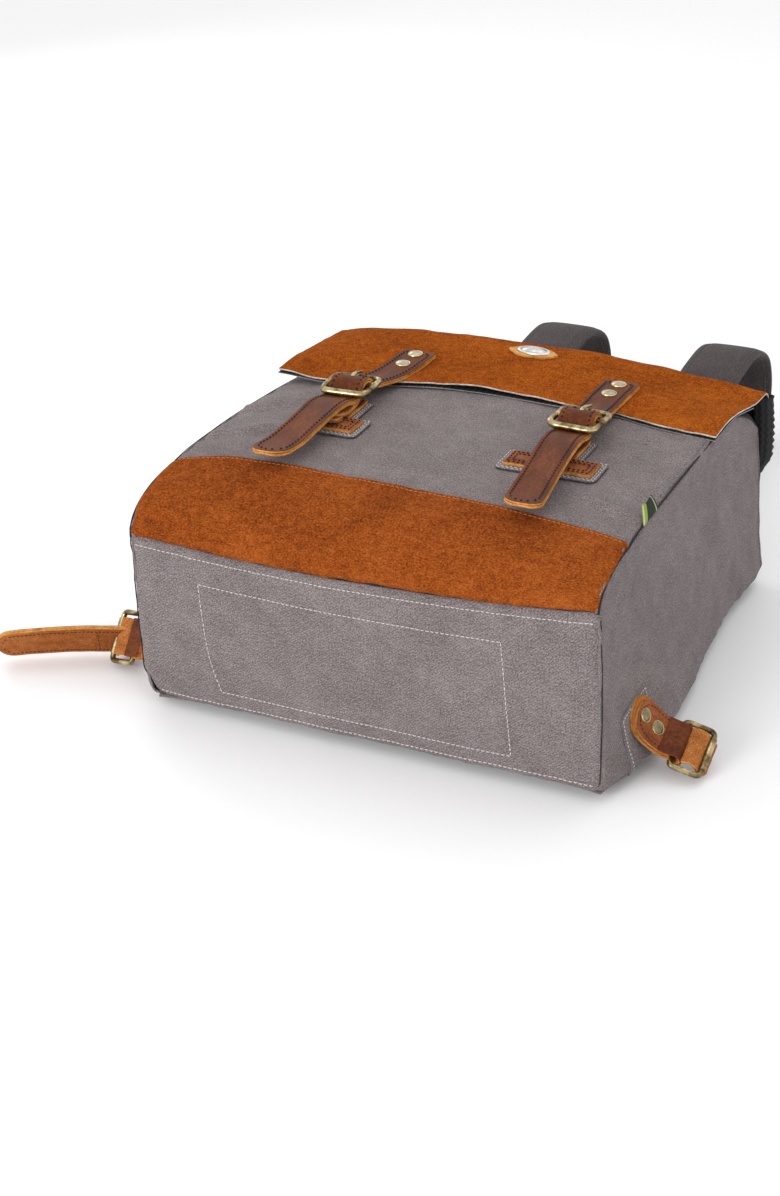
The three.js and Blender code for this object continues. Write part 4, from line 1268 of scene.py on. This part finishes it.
def side_buckle(name, sign, mount, body):
    """The side buckle, its roller and the strap end that it grips."""
    seat = (mount @ Matrix.Translation((sign * BUCKLE_OUT, 0, -BUCKLE_DOWN))
            @ Matrix.Rotation(sign * BUCKLE_TILT, 4, "Y"))
    half_out, half_wide = 9.4, 16.2
    ring = loop_points(half_out, half_wide, 3.6)
    points = moved(seat, [(x, y, -0.7 * (abs(x) / half_out) ** 2) for x, y in ring])
    frame_piece = tube(f"side_buckle_frame_{name}", points, 1.8, BRASS, 14, True)
    roller = moved(seat, [(sign * half_out, q, -0.6) for q in np.linspace(-11.5, 11.5, 20)])
    roller_piece = tube(f"side_buckle_roller_{name}", roller, 2.35, BRASS, 16)
    strip_path = curve([
        (-9, -6.2), (-6.5, -3.6), (-3, 0.8), (1, 2.6), (5, 1.8), (8, -2.4), (12.5, -4.8)], 0.7)
    strip = ribbon([(sign * u, 0, w) for u, w in strip_path], 12.2, (0, float(sign), 0), 1.2, 0.9, seat, 3)
    strip.lift(1.3 + 0.25 * waves(105, 7)(strip.p))
    strip_piece = shell(f"side_strap_hide_{name}", strip, 2.6, [SUEDE_RAW, LEATHER, EDGE], 0.2)
    attach(frame_piece, body, "antique_brass", f"side_buckle_{name}")
    attach(roller_piece, body, "antique_brass")
    attach(strip_piece, body, "leather", f"side_strap_{name}")


for name, (sign, tab_y, tab_z, turn) in SIDE_SETUP.items():
    mount = Matrix.Translation((sign * SIDE_X, tab_y, tab_z)) @ Matrix.Rotation(math.radians(turn), 4, "X")
    side_tab(name, sign, mount)
    side_patch(name, sign, mount)
    side_buckle(name, sign, mount, f"side_buckle_{name}")

# the left strap's loose end: two glued layers with four lines of stitching
tail_frame = (Matrix.Translation((-203, -106, 15)) @ Matrix.Rotation(math.radians(207), 4, "Z")
              @ Matrix.Rotation(math.radians(66), 4, "X"))
tail_path = curve([
    (-20, 0, -2.5), (-10, 0, -1.2), (0, 0, -0.4), (20, 0, 0.8), (45, 0, 0.6), (71.5, 0, -0.8)], 1.0)
tail_half = 12.3
tail_face = ribbon(tail_path, lambda s: tail_half - 0.9 * s, (0, -1, 0), 1.5, 0.9, tail_frame, 10)
tail_rear = Surface(tail_face.p.copy(), tail_face.u, tail_face.v)
tail_face.lift(1.75 + 0.12 * waves(111, 16)(tail_face.p))
tail_rear.lift(-0.05 + 0.12 * waves(112, 16)(tail_rear.p))
tail_front = shell("side_tail_face", tail_face, 1.7, [SUEDE_TAIL, EDGE, EDGE], 0.22)
tail_back = shell("side_tail_rear", tail_rear, 1.7, [EDGE, SUEDE_TAIL, EDGE], 0.22)
end = tail_face.u[-1]
rows = [stitch_row(tail_face, [(4, v), (end - 8, v)], 200, 0.05) for v in (
    2.2 + (tail_half - 2.2) * 0.05, 22.4 + (tail_half - 22.4) * 0.05)]
rows.append(stitch_row(tail_face, [(26, 2.5), (26, 22)], 60, 0.05))
rows.append(stitch_row(tail_face, [(end - 7, 3.6), (end - 3, 9)], 20, 0.05))
rows.append(stitch_row(tail_face, [(end - 7, 21), (end - 3, 15.6)], 20, 0.05))
tail_thread = stitches("side_tail_stitches", rows, THREAD_DARK, 2.6, 1.9, 0.28)
attach(tail_front, "side_buckle_left", "leather", "side_tail_left")
attach(tail_back, "side_buckle_left", "leather")
attach(tail_thread, "side_buckle_left", "leather")


# ---------------------------------------------------------------- shoulder straps and back

SHOULDER_HALF = 22.8
LOOP_X = {"left": -61, "right": 69}
LOOP_PATH = curve([
    (146.4, 11.2), (158, 14.4), (185, 33), (220, 54), (262, 71), (310, 80), (347, 78.5), (371, 64),
    (379.0, 40), (371, 17), (348, 5.4), (320, 4.2), (220, 4.2), (120, 4.2), (22, 4.2)], 1.0)


def padded_band(name, x, path, half_width, half_thickness, mat, pinch=4.5):
    """A foam strap at x along a path of (y, z): rounded in section, drawn in along its edge stitching."""
    path = np.asarray(path, float)
    u = stations(lengths(path)[-1], 4, 3)
    centre = resample(path, u)
    tangent = np.gradient(centre, axis=0)
    tangent /= np.linalg.norm(tangent, axis=1)[:, None]
    normal = np.stack([-tangent[:, 1], tangent[:, 0]], -1)
    thick = half_thickness(u / u[-1])
    across = np.concatenate([[-1, -0.985, -0.95], np.linspace(-0.9, 0.9, 17), [0.95, 0.985, 1]])
    groove = np.exp(-((np.abs(across) * half_width - half_width + pinch) / 1.3) ** 2)
    body = (1 - np.abs(across) ** 8) ** 0.5 * (1 - 0.32 * groove)
    body *= 0.72 + 0.28 * (1 - across ** 2) ** 0.6
    section = list(zip(across, body)) + list(zip(across[-2:0:-1], -body[-2:0:-1]))
    verts, uvs = [], []
    for i in range(len(u)):
        for s, h in section:
            offset = normal[i] * h * thick[i]
            verts.append((x + s * half_width, centre[i][0] + offset[0], centre[i][1] + offset[1]))
            uvs.append((u[i], s * half_width))
    faces = ring_faces(len(u), len(section))
    flat = np.array(uvs) * MM
    corner = [flat[v] for face in faces for v in face]
    piece = new_piece(name, np.array(verts) * MM, faces, corner, np.zeros(len(faces)), [mat], 70)
    return piece, centre, normal, thick


def lower_strap(name, sign):
    """The webbing under the bag, from the centre pad to the side buckle's height."""
    start = np.array([sign * 63, 21.0, 3.4])
    end = np.array([sign * 149, SIDE_SETUP[name][1] + 16.0, 3.4])
    ahead = (end - start) / np.linalg.norm(end - start)
    web = ribbon(np.linspace(start, end, 60), 12.3, np.cross([0, 0, 1.0], ahead), 3, 0.9)
    web_piece = shell(f"lower_strap_web_{name}", web.lift(1.2), 2.4, [LEATHER, SUEDE_RAW, EDGE], 0.22)
    attach(web_piece, "bag", "leather", f"lower_strap_{name}")


for name, sign in SIDES:
    band_piece, centre, normal, thick = padded_band(
        f"shoulder_strap_pad_{name}", LOOP_X[name], LOOP_PATH, SHOULDER_HALF,
        lambda s: 1.4 + 2.5 * smooth(s / 0.06), CANVAS_DARK)
    rows = []
    for face in (1, -1):
        where = centre + normal * (face * thick * 0.60)[:, None]
        outward = np.column_stack([np.zeros(len(centre)), normal * face])
        for edge_x in (-18.3, 18.3):
            points = np.column_stack([np.full(len(centre), LOOP_X[name] + edge_x), where])
            rows.append((points[2:-2], outward[2:-2]))
    thread = stitches(f"shoulder_strap_stitches_{name}", rows, THREAD_GREY, 3.2, 2.4, 0.32, -0.25)
    attach(band_piece, "bag", "strap_canvas", f"shoulder_strap_{name}")
    attach(thread, "bag", "strap_canvas")
    for piece in (band_piece, thread):
        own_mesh(piece)
    lower_strap(name, sign)


def pad(name, node, channels):
    """A foam back pad with sewn channels across it."""
    low, high = (np.array(c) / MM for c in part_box(node))
    size = high - low
    u, v = stations(size[0], 4, 3), stations(size[1], 4, 3)
    gu, gv = np.meshgrid(u, v, indexing="ij")
    a, b = gu / size[0] * 2 - 1, gv / size[1] * 2 - 1
    corner = np.clip(np.abs(a) ** 7 + np.abs(b) ** 24, 0, 1)
    thick = size[2] / 2 * (1 - corner) ** 0.42
    for c in channels:
        thick *= 1 - 0.45 * np.exp(-((gv - size[1] * c) / 2.6) ** 2)
    middle = (low[2] + high[2]) / 2
    edge = np.minimum(np.minimum(gu, size[0] - gu), np.minimum(gv, size[1] - gv))
    thick = np.where(edge <= 0, 0.05, np.maximum(thick, 0.4))
    sheets = [np.stack([low[0] + gu, low[1] + gv, middle + way * thick], -1).reshape(-1, 3)
              for way in (1, -1)]
    faces = np.concatenate(sheet_faces(*gu.shape))
    flat = np.stack([gu.ravel(), gv.ravel()], -1)
    flat = np.concatenate([flat, flat]) * MM
    piece = new_piece(name, np.concatenate(sheets) * MM, faces, flat[faces.ravel()], np.zeros(len(faces)),
                      [PAD_MESH], 60)
    attach(piece, "bag", "pad_mesh", node)


pad("centre_pad_foam", "back_pad_centre", (0.2, 0.4, 0.6, 0.8))
pad("left_pad_foam", "back_pad_left", (0.33, 0.66))
pad("right_pad_foam", "back_pad_right", (0.33, 0.66))


# ---------------------------------------------------------------- inside: lining and sleeve

LINING_LENGTH, LINING_END_Y, LINING_HALF = 284, -141, 145
ring_path = rounded([(-145.5, 14.2), (145.5, 14.2), (145.5, 142.5), (-145.5, 142.5)], 9, 5)
ring_path = np.vstack([ring_path, ring_path[:1]])
around = np.linspace(0, lengths(ring_path)[-1], 120)
depth = stations(LINING_LENGTH, 8, 3)
section = resample(ring_path, around)
section_x, section_z = section[:, 0][:, None], section[:, 1][:, None]
gy = (LINING_END_Y + depth)[None, :]
edge_z = np.where(section_x < 0, edge_left(gy), edge_right(gy))
lower = smooth((-100 - gy) / 45) * 24 + (147.2 - edge_z) * np.abs(section_x / HALF) ** 3
pz = section_z - lower * smooth((section_z - 60) / 80)
inner = Surface(np.stack([section_x + 0 * gy, gy + 0 * pz, pz], -1), around, depth)
from_end = smooth(np.minimum(depth, LINING_LENGTH - depth) / 20)
inner.lift(-1.3 * np.abs(waves(121, 40)(inner.p)) * from_end[None, :])
inner.p[-1] = inner.p[0]
lining_piece = shell("lining_cloth_bag", inner, 0.7, [LINING] * 3)
cap_u, cap_v = stations(2 * LINING_HALF, 10, 3), stations(100, 8, 3)
gx, gz = np.meshgrid(cap_u - LINING_HALF, cap_v + 14.5, indexing="ij")
cap = Surface(np.stack([gx, LINING_END_Y + 0 * gx, gz], -1), cap_u, cap_v)
cap_piece = shell("lining_cloth_base", cap, 0.7, [LINING] * 3)
sleeve_u, sleeve_v = stations(2 * LINING_HALF, 6, 3), stations(229, 6, 3)
gx, gy = np.meshgrid(sleeve_u - LINING_HALF, sleeve_v - 134.2, indexing="ij")
sleeve_z = 32.4 + 0.8 * np.sin(np.pi * (gx + LINING_HALF) / (2 * LINING_HALF)) * smooth((gy + 134) / 230)
sleeve = Surface(np.stack([gx, gy, sleeve_z], -1), sleeve_u, sleeve_v)
sleeve.lift(0.35 * waves(123, 50)(sleeve.p))
sleeve_piece = shell("sleeve_cloth", sleeve, 2.4, [LINING, LINING, CANVAS_DARK], 0.35)
attach(lining_piece, "bag", "lining_cloth", "lining")
attach(cap_piece, "bag", "lining_cloth")
attach(sleeve_piece, "bag", "lining_cloth", "laptop_sleeve")


# ---------------------------------------------------------------- seam label and the CAD nodes that stay

LABEL_LENGTH, LABEL_HEIGHT = 23, 13
label_u, label_v = stations(LABEL_LENGTH, 1.2, 0.8), np.linspace(0, LABEL_HEIGHT, 10)
gu, gv = np.meshgrid(label_u, label_v, indexing="ij")
rise = gv / LABEL_HEIGHT
label_x = 150.6 - 1.2 * rise ** 1.5 + 0.7 * np.sin(gu / 5) * rise
label_y = -76 + gu * (1 - 0.3 * rise ** 1.4)
label_surface = Surface(np.stack([label_x, label_y, 145.6 + gv - 0.04 * gu * rise], -1), label_u, label_v)
attach(shell("seam_label_cloth", label_surface, 1.1, [LABEL] * 3, 0.35), "bag", "label", "seam_label")

STAYING = {"base_board": BOARD}
for name, _ in SIDES:
    STAYING[f"snap_socket_{name}"] = BRASS
    STAYING[f"snap_stud_{name}"] = BRASS
for node, mat in STAYING.items():
    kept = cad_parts[node]
    kept.data.materials.clear()
    kept.data.materials.append(mat)


# ---------------------------------------------------------------- floor

bpy.ops.mesh.primitive_plane_add(size=12, location=(0, 0, 0))
floor = bpy.context.object
floor.name = "floor"
floor_shader = Shader("pale_floor", Base_Color=(0.93, 0.93, 0.94, 1), Roughness=0.55)
floor.data.materials.append(floor_shader.mat)
